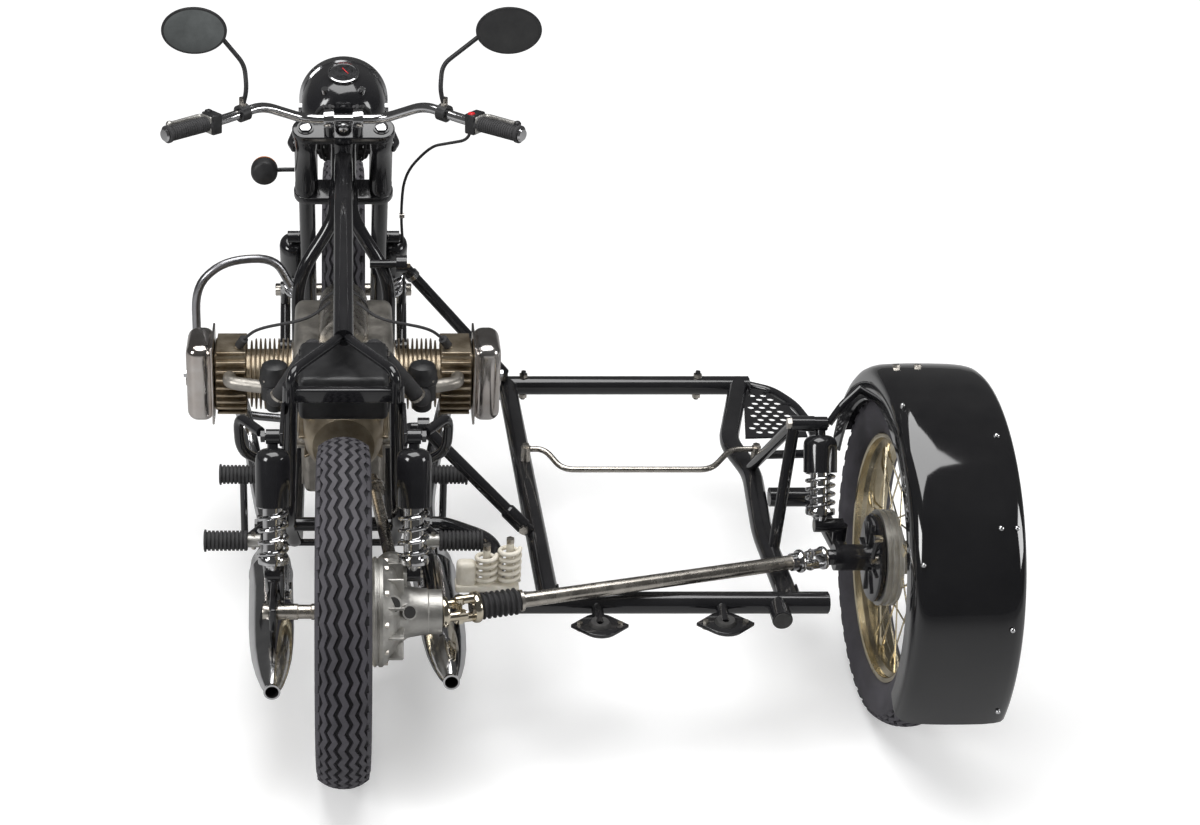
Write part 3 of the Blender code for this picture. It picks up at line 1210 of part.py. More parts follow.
def make_sidecar_tower():
    """Two struts from the right rail to the shock absorber's upper pin, and the shock absorber."""
    foot, top = side_shock_ends()
    inner = -EYE_WIDTH / 2 - SEAT
    out = COVER_RADIUS + ARM_TUBE + LAP
    post = top - Vector((out, 0, 0))
    pieces = [along_x(top, -out - ARM_TUBE / 2, inner, EYE_RADIUS * 1.1, ROUND)]
    pieces.append(along_x(top, inner - LAP, EYE_WIDTH / 2 + LAP, PIN_RADIUS, COARSE))
    for shares in TOWER_SHARES:
        pieces.append(pipe([spot(shares), post], ARM_TUBE * 0.8))
    combine("sidecar_tower", pieces, BLACK, [rail_cutter()])
    make_shock("sidecar_shock", foot, top, (1, 0, 0), 4, 0.52)


FENDER_RADIUS = 0.396
FENDER_SHEET = 0.003
FENDER_FROM = 12
FENDER_TO = 203
FENDER_STEPS = 12
FENDER_SECTION_SHARES = (
    # shares of the tyre's width sideways from its middle, shares of the fender's radius
    (-0.64, 0.820), (-0.66, 0.930), (-0.56, 0.975), (-0.35, 0.995), (0.20, 1.000), (0.90, 0.998),
    (1.25, 0.985), (1.34, 0.950), (1.36, 0.850),
)


def make_fender():
    """Wide valanced mudguard: one sheet section swept round the wheel, on a bracket from the tower."""
    outer = [(w * TYRE_WIDTH, r * FENDER_RADIUS) for w, r in FENDER_SECTION_SHARES]
    inner = []
    last = len(outer) - 1
    for i, (w, r) in enumerate(outer):
        a, b = outer[max(i - 1, 0)], outer[min(i + 1, last)]
        way = Vector((b[0] - a[0], b[1] - a[1])).normalized()
        inner.append((w + way.y * FENDER_SHEET, r - way.x * FENDER_SHEET))
    sheet = swept_band(outer + inner[::-1], THIRD_AXLE, FENDER_FROM, FENDER_TO, FENDER_STEPS)
    _, top = side_shock_ends()
    start = top + Vector((EYE_WIDTH / 2 + LAP + SEAT, 0, 0))
    up = Vector((0, top.y - THIRD_AXLE.y, top.z - THIRD_AXLE.z)).normalized()
    goal = THIRD_AXLE + Vector((outer[0][0] + FENDER_SHEET / 2, 0, 0)) + up * FENDER_RADIUS * 0.88
    knee = start.lerp(goal, 0.4) + Vector((0, 0, STAY_TUBE))
    bracket = pipe([start, knee, goal], STAY_TUBE * 0.8, STAY_TUBE)
    cutter = along_x(top, 0, start.x - top.x, EYE_RADIUS * 2)
    combine("sidecar_fender", [sheet, bracket], BLACK, [cutter])


JOINT_LENGTH = 0.075
JOINT_RADIUS = 0.030
BOOT_LENGTH = 0.090
BOOT_RADIUS = 0.027
BOOT_RIBS = 4
SIDE_SHAFT_RADIUS = 0.015


def make_sidecar_shaft():
    """Universal joint, ribbed boot, bright shaft and second joint to the sidecar wheel's axle."""
    start = REAR_AXLE + Vector((DRIVE_X + DRIVE_SECTION[-1][1] + SEAT, 0, 0))
    end = THIRD_AXLE + Vector((ARM_X - 1.5 * ARM_TUBE - NUT_LENGTH - 3 * SEAT, 0, 0))
    length = (end - start).length
    j, r = JOINT_LENGTH, JOINT_RADIUS
    profile = [
        (0, j * 0.03), (r * 1.2, j * 0.16), (r * 1.2, j * 0.24), (r * 0.7, j * 0.32), (r, j * 0.4), (r, j * 0.6),
        (r * 0.7, j * 0.8), (r * 0.7, j),
    ]
    step = BOOT_LENGTH / BOOT_RIBS
    for i in range(BOOT_RIBS):
        base = j + step * i
        profile += [(BOOT_RADIUS, base + step * 0.45), (BOOT_RADIUS * 0.82, base + step)]
    shaft = SIDE_SHAFT_RADIUS
    profile += [
        (shaft, j + BOOT_LENGTH + LAP), (shaft, length - j), (r * 0.6, length - j * 0.95),
        (r * 0.9, length - j * 0.6), (r * 0.9, length - j * 0.25), (r * 0.5, length - j * 0.1),
        (0, length - j * 0.08),
    ]
    named(turned(profile, start, end, ROUND), "sidecar_shaft", STEEL)


STRUT_RADIUS = 0.0135
UPPER_STRUT_SHARES = ((0.1180, 0.6600, 0.7150), (0.3350, 0.6960, 0.3700))
LOWER_STRUT_SHARES = ((0.1480, 0.2850, 0.5800), (0.3340, 0.2390, 0.3580))
LOWER_LUG_SHARES = (0.0980, 0.1850, 0.5800)


def make_struts():
    """Upper front and lower rear struts between the motorcycle's frame and the sidecar's."""
    rows = (
        ("upper_strut", UPPER_STRUT_SHARES, spots(FRONT_TUBE_SHARES)),
        ("lower_strut", LOWER_STRUT_SHARES, left_rail()),
    )
    for name, shares, (first, last) in rows:
        top, foot = spots(shares)
        way = (top - foot).normalized()
        pieces = [pipe([foot, top], STRUT_RADIUS)]
        eye = STRUT_RADIUS * 0.9
        pieces.append(along_x(top, -eye, eye, STRUT_RADIUS * 1.5, ROUND))
        pieces.append(rod(foot - way * LAP, foot + way * 4 * STRUT_RADIUS, STRUT_RADIUS * 1.25, ROUND))
        line = (last - first).normalized()
        nearest = first + line * (foot - first).dot(line)
        pieces.append(rod(foot, nearest, STRUT_RADIUS, ROUND))
        rails = [chassis_pipe(spots(FRONT_TUBE_SHARES), SEAT), chassis_pipe(left_rail(), SEAT)]
        combine(name, pieces, BLACK, rails)


def settle():
    """Move everything so that the origin is the bottom centre of the whole machine's box."""
    bpy.context.view_layer.update()
    low, high = Vector((math.inf,) * 3), Vector((-math.inf,) * 3)
    solids = [thing for thing in bpy.data.objects if thing.type == "MESH"]
    for thing in solids:
        for vertex in thing.data.vertices:
            place = thing.matrix_world @ vertex.co
            low = Vector(map(min, low, place))
            high = Vector(map(max, high, place))
    base = Vector(((low.x + high.x) / 2, (low.y + high.y) / 2, low.z))
    for thing in solids:
        thing.data.transform(Matrix.Translation(-base))
    return base


make_wheels()
make_frame()
make_swing_arm()
make_final_drive()
make_rear_axle()
for name_end, way in SIDES:
    shock_foot, shock_top = shock_ends(way)
    make_shock("rear_shock_" + name_end, shock_foot, shock_top, (1, 0, 0), 4, 0.50)
make_engine()
make_cylinders()
make_carburettors()
make_exhausts()
make_drive_shaft()
make_pegs()
make_guard()
make_fork()
make_front_links()
make_handlebar()
make_mirrors()
make_headlamp()
make_indicator()
make_sidecar_frame()
make_step()
make_cross_rod()
make_sidecar_arm()
make_sidecar_tower()
make_fender()
make_sidecar_shaft()
make_struts()
moved_by = settle()
print("origin moved to", tuple(round(value, 6) for value in moved_by))
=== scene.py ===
"""The looks of a sidecar motorcycle that is shown without its bodywork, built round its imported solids.

Metres, +Z up, +Y forward, +X to the sidecar. Places are given as in the source of the solids: from
the ground under the rear axle, as shares of the track, the wheelbase and the steering head's height.
"""

import math

import bpy
from mathutils import Matrix, Vector


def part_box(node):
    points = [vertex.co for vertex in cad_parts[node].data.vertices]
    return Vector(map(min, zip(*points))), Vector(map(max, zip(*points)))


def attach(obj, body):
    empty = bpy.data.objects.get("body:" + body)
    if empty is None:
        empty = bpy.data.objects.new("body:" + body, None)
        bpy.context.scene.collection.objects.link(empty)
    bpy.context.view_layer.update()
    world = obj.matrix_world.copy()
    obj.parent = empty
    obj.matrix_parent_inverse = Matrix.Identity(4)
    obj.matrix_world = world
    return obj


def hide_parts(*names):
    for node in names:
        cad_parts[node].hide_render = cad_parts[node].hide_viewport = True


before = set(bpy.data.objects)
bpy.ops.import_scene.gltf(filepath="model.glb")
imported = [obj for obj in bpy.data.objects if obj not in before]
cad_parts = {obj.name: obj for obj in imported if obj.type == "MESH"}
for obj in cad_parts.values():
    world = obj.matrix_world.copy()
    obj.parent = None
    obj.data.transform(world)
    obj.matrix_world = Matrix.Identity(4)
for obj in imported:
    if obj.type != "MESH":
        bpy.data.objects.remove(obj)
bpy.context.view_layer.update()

# The room: a pale floor that runs past the view, a soft overhead light, a key from the left and a weak
# fill from the right. The machine stands alone on it, and the camera looks down from behind.

TRACK = 1.132
WHEELBASE = 1.490
HEAD_Z = 0.900
tyre_low, tyre_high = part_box("rear_tyre")
GROUND = Vector(((tyre_low.x + tyre_high.x) / 2, (tyre_low.y + tyre_high.y) / 2, 0))
SIDES = (("left", -1), ("right", 1))
UP, AHEAD, RIGHT = Vector((0, 0, 1)), Vector((0, 1, 0)), Vector((1, 0, 0))


def tree_of(owner):
    owner.use_nodes = True
    return owner.node_tree


def fed(tree, node, inputs):
    """Links each input named to the output given, or sets it to the constant given."""
    for name, source in inputs.items():
        if isinstance(source, bpy.types.NodeSocket):
            tree.links.new(source, node.inputs[name])
        else:
            node.inputs[name].default_value = source
    return node


def new_node(tree, kind, inputs=(), **settings):
    made = tree.nodes.new("ShaderNode" + kind)
    for setting, value in settings.items():
        setattr(made, setting, value)
    return fed(tree, made, dict(inputs))


WHITE = (1.0, 1.0, 1.0, 1.0)
ROOM_LIGHT = 0.42
ROOM_MIRRORED = 0.1
bpy.context.scene.view_settings.view_transform = "Standard"
room = bpy.data.worlds.new("studio")
bpy.context.scene.world = room
tree = tree_of(room)
ray = new_node(tree, "LightPath").outputs
lit = fed(tree, tree.nodes["Background"], {"Color": WHITE, "Strength": ROOM_LIGHT})
mirrored = new_node(tree, "Background", {"Strength": ROOM_MIRRORED})
seen = new_node(tree, "Background", {"Color": WHITE, "Strength": 1.0})
dim = new_node(tree, "MixShader", {"Fac": ray["Is Glossy Ray"], 1: lit.outputs[0], 2: mirrored.outputs[0]})
choose = new_node(tree, "MixShader", {"Fac": ray["Is Camera Ray"], 1: dim.outputs[0], 2: seen.outputs[0]})
fed(tree, tree.nodes["World Output"], {"Surface": choose.outputs[0]})

FLOOR_SIDE = 40.0
FLOOR_DROP = 0.0005
FLOOR_GREY = (0.8, 0.8, 0.8, 1.0)
FLOOR_MIRRORED = (0.42, 0.42, 0.42, 1.0)
GLOW_NEAR, GLOW_FAR = 0.3, 0.75
REACH_NEAR, REACH_FAR = 1.8, 5.5
bpy.ops.object.select_all(action="DESELECT")
bpy.ops.mesh.primitive_grid_add(x_subdivisions=4, y_subdivisions=4, size=FLOOR_SIDE,
                                location=(0, 0, -FLOOR_DROP))
floor = bpy.context.object
floor.name = "studio_floor"
paint = bpy.data.materials.new("pale_floor")
tree = tree_of(paint)
ray = new_node(tree, "LightPath").outputs
place = new_node(tree, "TexCoord").outputs["Object"]
away = new_node(tree, "VectorMath", {0: place}, operation="LENGTH").outputs["Value"]
ends = {"From Min": REACH_NEAR, "From Max": REACH_FAR, "To Min": GLOW_NEAR, "To Max": GLOW_FAR}
rise = new_node(tree, "MapRange", {"Value": away, **ends}).outputs["Result"]
either = {0: ray["Is Camera Ray"], 1: ray["Is Transmission Ray"]}
either = new_node(tree, "Math", either, operation="MAXIMUM").outputs[0]
glow = new_node(tree, "Math", {0: either, 1: rise}, operation="MULTIPLY").outputs[0]
shade = {"Factor": ray["Is Glossy Ray"], "A": FLOOR_GREY, "B": FLOOR_MIRRORED}
shade = new_node(tree, "Mix", shade, data_type="RGBA").outputs["Result"]
fed(tree, tree.nodes["Principled BSDF"], {
    "Base Color": shade, "Roughness": 0.6, "Emission Color": WHITE, "Emission Strength": glow,
})
floor.data.materials.append(paint)

LAMPS = (
    # name, place, aimed at, side of the square, watts
    ("overhead_softbox", (-0.4, -0.2, 4.2), (0, 0, 0.3), 3.2, 150),
    ("key_softbox", (-4.2, -3.2, 3.0), (0, -0.2, 0.5), 1.8, 110),
    ("fill_softbox", (4.4, -2.2, 2.2), (0, -0.2, 0.4), 1.6, 60),
)
for name, place, aim, side, watts in LAMPS:
    bpy.ops.object.light_add(type="AREA", location=place)
    lamp = bpy.context.object
    lamp.name = name
    lamp.data.size = side
    lamp.data.energy = watts
    lamp.rotation_euler = (Vector(aim) - Vector(place)).to_track_quat("-Z", "Y").to_euler()

CAMERA_BACK, CAMERA_HIGH = 4.245, 2.67
CAMERA_TILT = math.radians(61.7)
LENS, SENSOR, SHIFT = 64.14, 36.0, 0.2138
bpy.ops.object.camera_add(location=(GROUND.x, -CAMERA_BACK, CAMERA_HIGH), rotation=(CAMERA_TILT, 0, 0))
camera = bpy.context.object
camera.name = "studio_camera"
camera.data.lens = LENS
camera.data.sensor_width = SENSOR
camera.data.shift_x = SHIFT
bpy.context.scene.camera = camera


# Finishes: each is a Principled material with its own colours. Mottle, fine relief and dust come from
# shared groups, so that paint, castings, rubber and plating all have fine irregularity at their scale.

def group_with(name, inputs, outputs):
    """An empty shader group with number inputs (and Vector first) and the outputs named."""
    made = bpy.data.node_groups.new(name, "ShaderNodeTree")
    made.interface.new_socket("Vector", in_out="INPUT", socket_type="NodeSocketVector")
    for label, start in inputs:
        socket = made.interface.new_socket(label, in_out="INPUT", socket_type="NodeSocketFloat")
        socket.default_value = start
    for label in outputs:
        made.interface.new_socket(label, in_out="OUTPUT", socket_type="NodeSocketFloat")
    return made, made.nodes.new("NodeGroupInput"), made.nodes.new("NodeGroupOutput")


mottle, given, result = group_with("mottle", (("Scale", 30.0), ("Contrast", 0.5)), ("Mask", "Height"))
place, scale, contrast = (given.outputs[name] for name in ("Vector", "Scale", "Contrast"))
cloud = new_node(mottle, "TexNoise", {"Vector": place, "Scale": scale, "Detail": 6.0, "Roughness": 0.62})
finer = new_node(mottle, "Math", {0: scale, 1: 9.0}, operation="MULTIPLY")
fine = new_node(mottle, "TexNoise", {"Vector": place, "Scale": finer.outputs[0], "Detail": 3.0})
low_end = new_node(mottle, "Math", {0: 0.5, 1: contrast}, operation="SUBTRACT")
high_end = new_node(mottle, "Math", {0: 0.5, 1: contrast}, operation="ADD")
spread = new_node(mottle, "MapRange", {
    "Value": cloud.outputs["Fac"], "From Min": low_end.outputs[0], "From Max": high_end.outputs[0],
})
fed(mottle, result, {"Mask": spread.outputs["Result"], "Height": fine.outputs["Fac"]})

settling, given, result = group_with("settled_dust", (("Amount", 0.3),), ("Mask",))
facing = new_node(settling, "NewGeometry").outputs["Normal"]
parts = new_node(settling, "SeparateXYZ", {0: facing})
upward = new_node(settling, "MapRange", {"Value": parts.outputs["Z"], "From Min": 0.35})
patch = new_node(settling, "TexNoise", {"Vector": given.outputs["Vector"], "Scale": 22.0, "Detail": 5.0})
both = new_node(settling, "Math", {0: upward.outputs["Result"], 1: patch.outputs["Fac"]},
                operation="MULTIPLY")
share = new_node(settling, "Math", {0: both.outputs[0], 1: given.outputs["Amount"]}, operation="MULTIPLY")
fed(settling, result, {"Mask": share.outputs[0]})

DUST = (0.42, 0.4, 0.38)
BUMP_DEPTH = 0.002
COAT_ROUGHNESS = 0.06


def finish(name, dark, light, rough, metallic=0.0, scale=30.0, contrast=0.25, bump=0.05, coat=0.0, dust=0.0):
    """A Principled material between two colours and two roughnesses, with fine bump and a little dust."""
    made = bpy.data.materials.new(name)
    tree = tree_of(made)
    place = new_node(tree, "TexCoord").outputs["Object"]
    grain = {"Vector": place, "Scale": scale, "Contrast": contrast}
    grain = new_node(tree, "Group", grain, node_tree=mottle).outputs
    powder = new_node(tree, "Group", {"Vector": place, "Amount": dust}, node_tree=settling)
    tone = {"Factor": grain["Mask"], "A": (*dark, 1.0), "B": (*light, 1.0)}
    tone = new_node(tree, "Mix", tone, data_type="RGBA")
    dusted = {"Factor": powder.outputs["Mask"], "A": tone.outputs["Result"], "B": (*DUST, 1.0)}
    dusted = new_node(tree, "Mix", dusted, data_type="RGBA")
    polish = new_node(tree, "MapRange", {"Value": grain["Mask"], "To Min": rough[0], "To Max": rough[1]})
    relief = new_node(tree, "Bump", {"Strength": bump, "Distance": BUMP_DEPTH, "Height": grain["Height"]})
    fed(tree, tree.nodes["Principled BSDF"], {
        "Base Color": dusted.outputs["Result"], "Metallic": metallic, "Roughness": polish.outputs["Result"],
        "Normal": relief.outputs["Normal"], "Coat Weight": coat, "Coat Roughness": COAT_ROUGHNESS,
    })
    return made


ENAMEL = finish("black_enamel", (0.006, 0.006, 0.007), (0.014, 0.014, 0.016), (0.08, 0.18), scale=9,
                bump=0.02, coat=0.5, dust=0.03)
CHROME = finish("chrome", (0.55, 0.55, 0.56), (0.74, 0.74, 0.75), (0.06, 0.16), 1.0, scale=14, bump=0.015)
ALLOY = finish("cast_alloy", (0.36, 0.35, 0.33), (0.6, 0.59, 0.56), (0.34, 0.52), 0.9, scale=26, bump=0.3)
STEEL = finish("bright_steel", (0.42, 0.39, 0.35), (0.68, 0.64, 0.58), (0.2, 0.34), 1.0, scale=40, bump=0.06)
RUBBER = finish("black_rubber", (0.018, 0.018, 0.019), (0.045, 0.044, 0.046), (0.62, 0.85), scale=60,
                bump=0.25)
PLASTIC = finish("black_plastic", (0.01, 0.01, 0.011), (0.024, 0.024, 0.025), (0.34, 0.5), scale=50,
                 bump=0.15)


# Tyres: black-grey moulded rubber on a carcass, 106 mm wide, with five zig-zag ribs round the crown
# and small shoulder blocks. The tread is one pitch, modelled once and repeated round the wheel.

def pick(*pieces):
    """Only these pieces selected, the first one active."""
    bpy.ops.object.select_all(action="DESELECT")
    for piece in pieces:
        piece.select_set(True)
    bpy.context.view_layer.objects.active = pieces[0]


def joined(pieces):
    pick(*pieces)
    bpy.ops.object.join()
    return bpy.context.object


def applied(piece, kind, **settings):
    """One modifier, set and applied."""
    pick(piece)
    bpy.ops.object.modifier_add(type=kind)
    step = piece.modifiers[-1]
    for setting, value in settings.items():
        setattr(step, setting, value)
    bpy.ops.object.modifier_apply(modifier=step.name)
    return piece


def dressed(piece, name, body, replaced=(), degrees=32):
    """Smooths and names a finished piece and rides it on its body."""
    pick(piece)
    bpy.ops.object.transform_apply(location=True, rotation=True, scale=True)
    bpy.ops.object.shade_smooth_by_angle(angle=math.radians(degrees))
    piece.name = name
    piece.data.name = name
    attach(piece, body)
    if replaced:
        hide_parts(*replaced)


def standing(start, way):
    """The turn and place of a thing whose own Z runs along way from start."""
    return Matrix.Translation(start) @ way.to_track_quat("Z", "Y").to_matrix().to_4x4()


def turned(profile, start=(0, 0, 0), way=RIGHT, steps=72):
    """A closed outline of (radius, height) corners spun about the line from start along way."""
    bpy.ops.object.select_all(action="DESELECT")
    bpy.ops.mesh.primitive_circle_add(vertices=len(profile))
    piece = bpy.context.object
    for corner, (radius, height) in zip(piece.data.vertices, profile):
        corner.co = (radius, 0, height)
    bpy.ops.object.mode_set(mode="EDIT")
    bpy.ops.mesh.select_all(action="SELECT")
    bpy.ops.mesh.spin(steps=steps, angle=math.tau, center=(0, 0, 0), axis=(0, 0, 1))
    bpy.ops.mesh.select_all(action="SELECT")
    bpy.ops.mesh.remove_doubles(threshold=0.00001)
    bpy.ops.mesh.normals_make_consistent(inside=False)
    bpy.ops.object.mode_set(mode="OBJECT")
    piece.matrix_world = standing(start, way)
    bpy.ops.object.transform_apply(location=True, rotation=True, scale=True)
    return piece


def hollow(start, way, inner, outer, low, high, steps=40):
    """A short tube with square ends, between two heights along way."""
    return turned([(inner, low), (outer, low), (outer, high), (inner, high)], start, way, steps)


def round_axle(x, radius, angle):
    """An offset from a wheel's middle: along its axle, and round it from ahead upward."""
    return Vector((x, radius * math.cos(angle), radius * math.sin(angle)))


def coloured(piece, look):
    piece.data.materials.clear()
    piece.data.materials.append(look)
    return piece


def parted(piece, look, other, chosen):
    """Gives a piece one look, and another to the faces whose middles are chosen."""
    coloured(piece, look)
    piece.data.materials.append(other)
    for face in piece.data.polygons:
        face.material_index = int(chosen(face.center))
    return piece


def ringed(piece, count):
    """Copies of a piece round the X axis, in one mesh."""
    bpy.ops.object.empty_add(rotation=(math.tau / count, 0, 0))
    guide = bpy.context.object
    applied(piece, "ARRAY", count=count, use_relative_offset=False, use_object_offset=True,
            offset_object=guide)
    bpy.data.objects.remove(guide)
    return piece


TYRE_RADIUS = 0.3425
TREAD_HALF = 0.0466
SHOULDER_DROP = 0.0159
TREAD_DEPTH = 0.005
TREAD_PITCHES = 48
RIBS = (
    # place from the middle, half width, half height of the zig-zag
    (-0.0368, 0.0044, 0.0034), (-0.02, 0.0051, 0.0046), (0, 0.0058, 0.0046), (0.02, 0.0051, 0.0046),
    (0.0368, 0.0044, 0.0034),
)
TYRE_SIDE = (
    # half width, radius: from the bead to the edge of the tread
    (0.0306, 0.2479), (0.0306, 0.2546), (0.04, 0.26), (0.046, 0.269), (0.0505, 0.282), (0.053, 0.298),
    (0.0524, 0.309), (0.05, 0.317), (0.0462, 0.322),
)
TYRE = finish("tyre_rubber", (0.034, 0.032, 0.038), (0.072, 0.068, 0.08), (0.62, 0.85), scale=24, bump=0.2,
              dust=0.08)
# Near-black finish for the floor of the tread grooves between the ribs: painted shade, darker than the rubber
# itself.
TREAD_GROOVE_SHADE = finish("tyre_groove_painted_shade", (0.006, 0.006, 0.008), (0.014, 0.013, 0.016), (0.8, 0.95), scale=24, bump=0.2)


WALL_X, WALL_RADIUS = 0.0462, 0.3


def crown_radius(x):
    """Height of the tread's surface above the axle."""
    return TYRE_RADIUS - SHOULDER_DROP * (abs(x) / TREAD_HALF) ** 2.3


def tread_strip(corners):
    """A raised strip of one pitch: rows of two corners (x, share of the pitch), laid on the crown."""
    bpy.ops.object.select_all(action="DESELECT")
    bpy.ops.mesh.primitive_grid_add(x_subdivisions=1, y_subdivisions=len(corners) // 2 - 1)
    strip = bpy.context.object
    for corner, (x, turn) in zip(strip.data.vertices, corners):
        corner.co = round_axle(x, crown_radius(x), math.tau / TREAD_PITCHES * turn)
    return applied(strip, "SOLIDIFY", thickness=TREAD_DEPTH, offset=1.0)


def make_tyre(name, centre, body):
    base = [(crown_radius(x) - TREAD_DEPTH, x) for x in (0.04, 0.03, 0.016, 0.0)]
    half = [(radius, x) for x, radius in TYRE_SIDE] + base
    outline = half + [(radius, -x) for radius, x in reversed(half[:-1])]
    # The crown between the ribs gets the near-black groove finish, as painted shade; the walls and ribs get the
    # tyre rubber.
    carcass = parted(turned(outline, steps=128), TREAD_GROOVE_SHADE, TYRE,
                     lambda at: abs(at.x) > WALL_X or math.hypot(at.y, at.z) < WALL_RADIUS)
    strips = []
    for x, half_width, swing in RIBS:
        zig = ((-1, 0), (1, 0.5), (-1, 1))
        corners = [(x + swing * way + side * half_width, turn) for way, turn in zig for side in (-1, 1)]
        strips.append(tread_strip(corners))
    for side in (-1, 1):
        wide = [(side * 0.044, 0.12), (side * 0.05, 0.12), (side * 0.044, 0.72), (side * 0.05, 0.72)]
        strips.append(tread_strip(wide if side > 0 else [wide[1], wide[0], wide[3], wide[2]]))
    whole = joined([coloured(ringed(joined(strips), TREAD_PITCHES), TYRE), carcass])
    whole.location = centre
    dressed(whole, name + "_tyre_rubber", body, (name + "_tyre",))


AXLE_Z = TYRE_RADIUS
REAR_AXLE = GROUND + UP * AXLE_Z
FRONT_AXLE = GROUND + Vector((0, WHEELBASE, AXLE_Z))
THIRD_AXLE = GROUND + Vector((TRACK, 0.134 * WHEELBASE, AXLE_Z))
WHEELS = (
    # name, middle of the wheel, side of the brake drum, body
    ("rear", REAR_AXLE, 1, "rear_wheel"), ("front", FRONT_AXLE, -1, "front_wheel"),
    ("sidecar", THIRD_AXLE, -1, "sidecar_wheel"),
)
for name, centre, drum_side, body in WHEELS:
    make_tyre(name, centre, body)


# Wheels: rolled steel rims with a warm plated shine, 36 crossed spokes with nipples, and an alloy hub
# whose wide side is the brake drum. The spokes are four patterns repeated nine times.

def bar(start, end, radius, sides=20):
    """A straight round bar between two places."""
    start, end = Vector(start), Vector(end)
    bpy.ops.object.select_all(action="DESELECT")
    bpy.ops.mesh.primitive_cylinder_add(
        vertices=sides, radius=radius, depth=(end - start).length, location=(start + end) / 2,
        rotation=(end - start).to_track_quat("Z", "Y").to_euler(),
    )
    bpy.ops.object.transform_apply(location=True, rotation=True, scale=True)
    return bpy.context.object


WARM_PLATE = finish("warm_plate", (0.56, 0.48, 0.33), (0.82, 0.74, 0.56), (0.16, 0.3), 1.0, scale=22,
                    bump=0.04)
RIM_OUTLINE = (
    # radius, half width: the bed under the tyre, then the inner face
    (0.254, 0.034), (0.254, 0.0312), (0.2478, 0.0308), (0.247, 0.018), (0.238, 0.01), (0.238, -0.01),
    (0.247, -0.018), (0.2478, -0.0308), (0.254, -0.0312), (0.254, -0.034), (0.25, -0.0346), (0.245, -0.0325),
    (0.244, -0.02), (0.2352, -0.012), (0.2344, 0), (0.2352, 0.012), (0.244, 0.02), (0.245, 0.0325),
    (0.25, 0.0346),
)
HUB_OUTLINE = (
    # radius, place along the axle with the drum at the far end
    (0.0106, -0.045), (0.02, -0.045), (0.022, -0.04), (0.046, -0.038), (0.0475, -0.0345), (0.046, -0.031),
    (0.036, -0.029), (0.034, -0.02), (0.034, 0.002), (0.04, 0.008), (0.094, 0.011), (0.098, 0.014),
    (0.098, 0.0195), (0.095, 0.021), (0.095, 0.025), (0.098, 0.0265), (0.098, 0.032), (0.095, 0.0335),
    (0.095, 0.0375), (0.098, 0.039), (0.098, 0.045), (0.086, 0.045), (0.084, 0.042), (0.03, 0.042),
    (0.028, 0.045), (0.0106, 0.045),
)
SPOKE_RADIUS = 0.0018
SPOKE_REACH = 0.2365
SPOKE_GROUPS = 9
SPOKE_ROWS = (
    # radius and place of the flange's holes, lean and first angle in degrees, place in the rim
    (0.043, -0.0345, 62, 0, -0.006), (0.043, -0.0345, -62, 20, -0.003), (0.093, 0.015, 34, 10, 0.006),
    (0.093, 0.015, -34, 30, 0.003),
)


def make_wheel(name, centre, drum_side, body):
    rim = coloured(turned(RIM_OUTLINE, steps=128), WARM_PLATE)
    hub = [(radius, along * drum_side) for radius, along in HUB_OUTLINE]
    hub = coloured(turned(hub, steps=72), ALLOY)
    spokes = []
    for radius, along, lean, first, seat in SPOKE_ROWS:
        foot = round_axle(along * drum_side, radius, math.radians(first))
        tip = round_axle(seat * drum_side, SPOKE_REACH, math.radians(first + lean))
        way = (tip - foot).normalized()
        spokes.append(bar(foot - way * 0.004, tip, SPOKE_RADIUS, 8))
        spokes.append(bar(tip - way * 0.02, tip + way * 0.002, SPOKE_RADIUS * 1.8, 8))
    spokes = coloured(ringed(joined(spokes), SPOKE_GROUPS), WARM_PLATE)
    whole = joined([rim, hub, spokes])
    whole.location = centre
    dressed(whole, name + "_wheel_rim_and_spokes", body, (name + "_wheel",))


for name, centre, drum_side, body in WHEELS:
    make_wheel(name, centre, drum_side, body)


# Suspension units: a black pressed cover over the upper half, four bright coils under it, a plated
# sleeve, and an eye for a bolt at each end.

def rounded(points, bend, steps=6):
    """A path whose corners are short curves."""
    path = [Vector(point) for point in points]
    out = [path[0]]
    for before, corner, after in zip(path, path[1:], path[2:]):
        start = corner + (before - corner).normalized() * min(bend, (corner - before).length * 0.45)
        end = corner + (after - corner).normalized() * min(bend, (after - corner).length * 0.45)
        for i in range(steps + 1 if bend else 1):
            t = i / steps if bend else 0.5
            out.append(start * (1 - t) ** 2 + corner * 2 * t * (1 - t) + end * t ** 2)
    return out + [path[-1]]


def tube(points, radius, bend=0.0, extra=5):
    """A round tube along a path with bent corners and closed ends."""
    bpy.ops.object.select_all(action="DESELECT")
    bpy.ops.curve.primitive_nurbs_path_add()
    line = bpy.context.object
    line.data.splines.clear()
    path = rounded(points, bend) if len(points) > 2 else [Vector(point) for point in points]
    run = line.data.splines.new("POLY")
    run.points.add(len(path) - 1)
    for knot, place in zip(run.points, path):
        knot.co = (*place, 1.0)
    line.data.bevel_depth = radius
    line.data.bevel_resolution = extra
    line.data.use_fill_caps = True
    bpy.ops.object.convert(target="MESH")
    piece = bpy.context.object
    bpy.ops.object.mode_set(mode="EDIT")
    bpy.ops.mesh.select_all(action="SELECT")
    bpy.ops.mesh.remove_doubles(threshold=0.00001)
    bpy.ops.mesh.normals_make_consistent(inside=False)
    bpy.ops.object.mode_set(mode="OBJECT")
    return piece


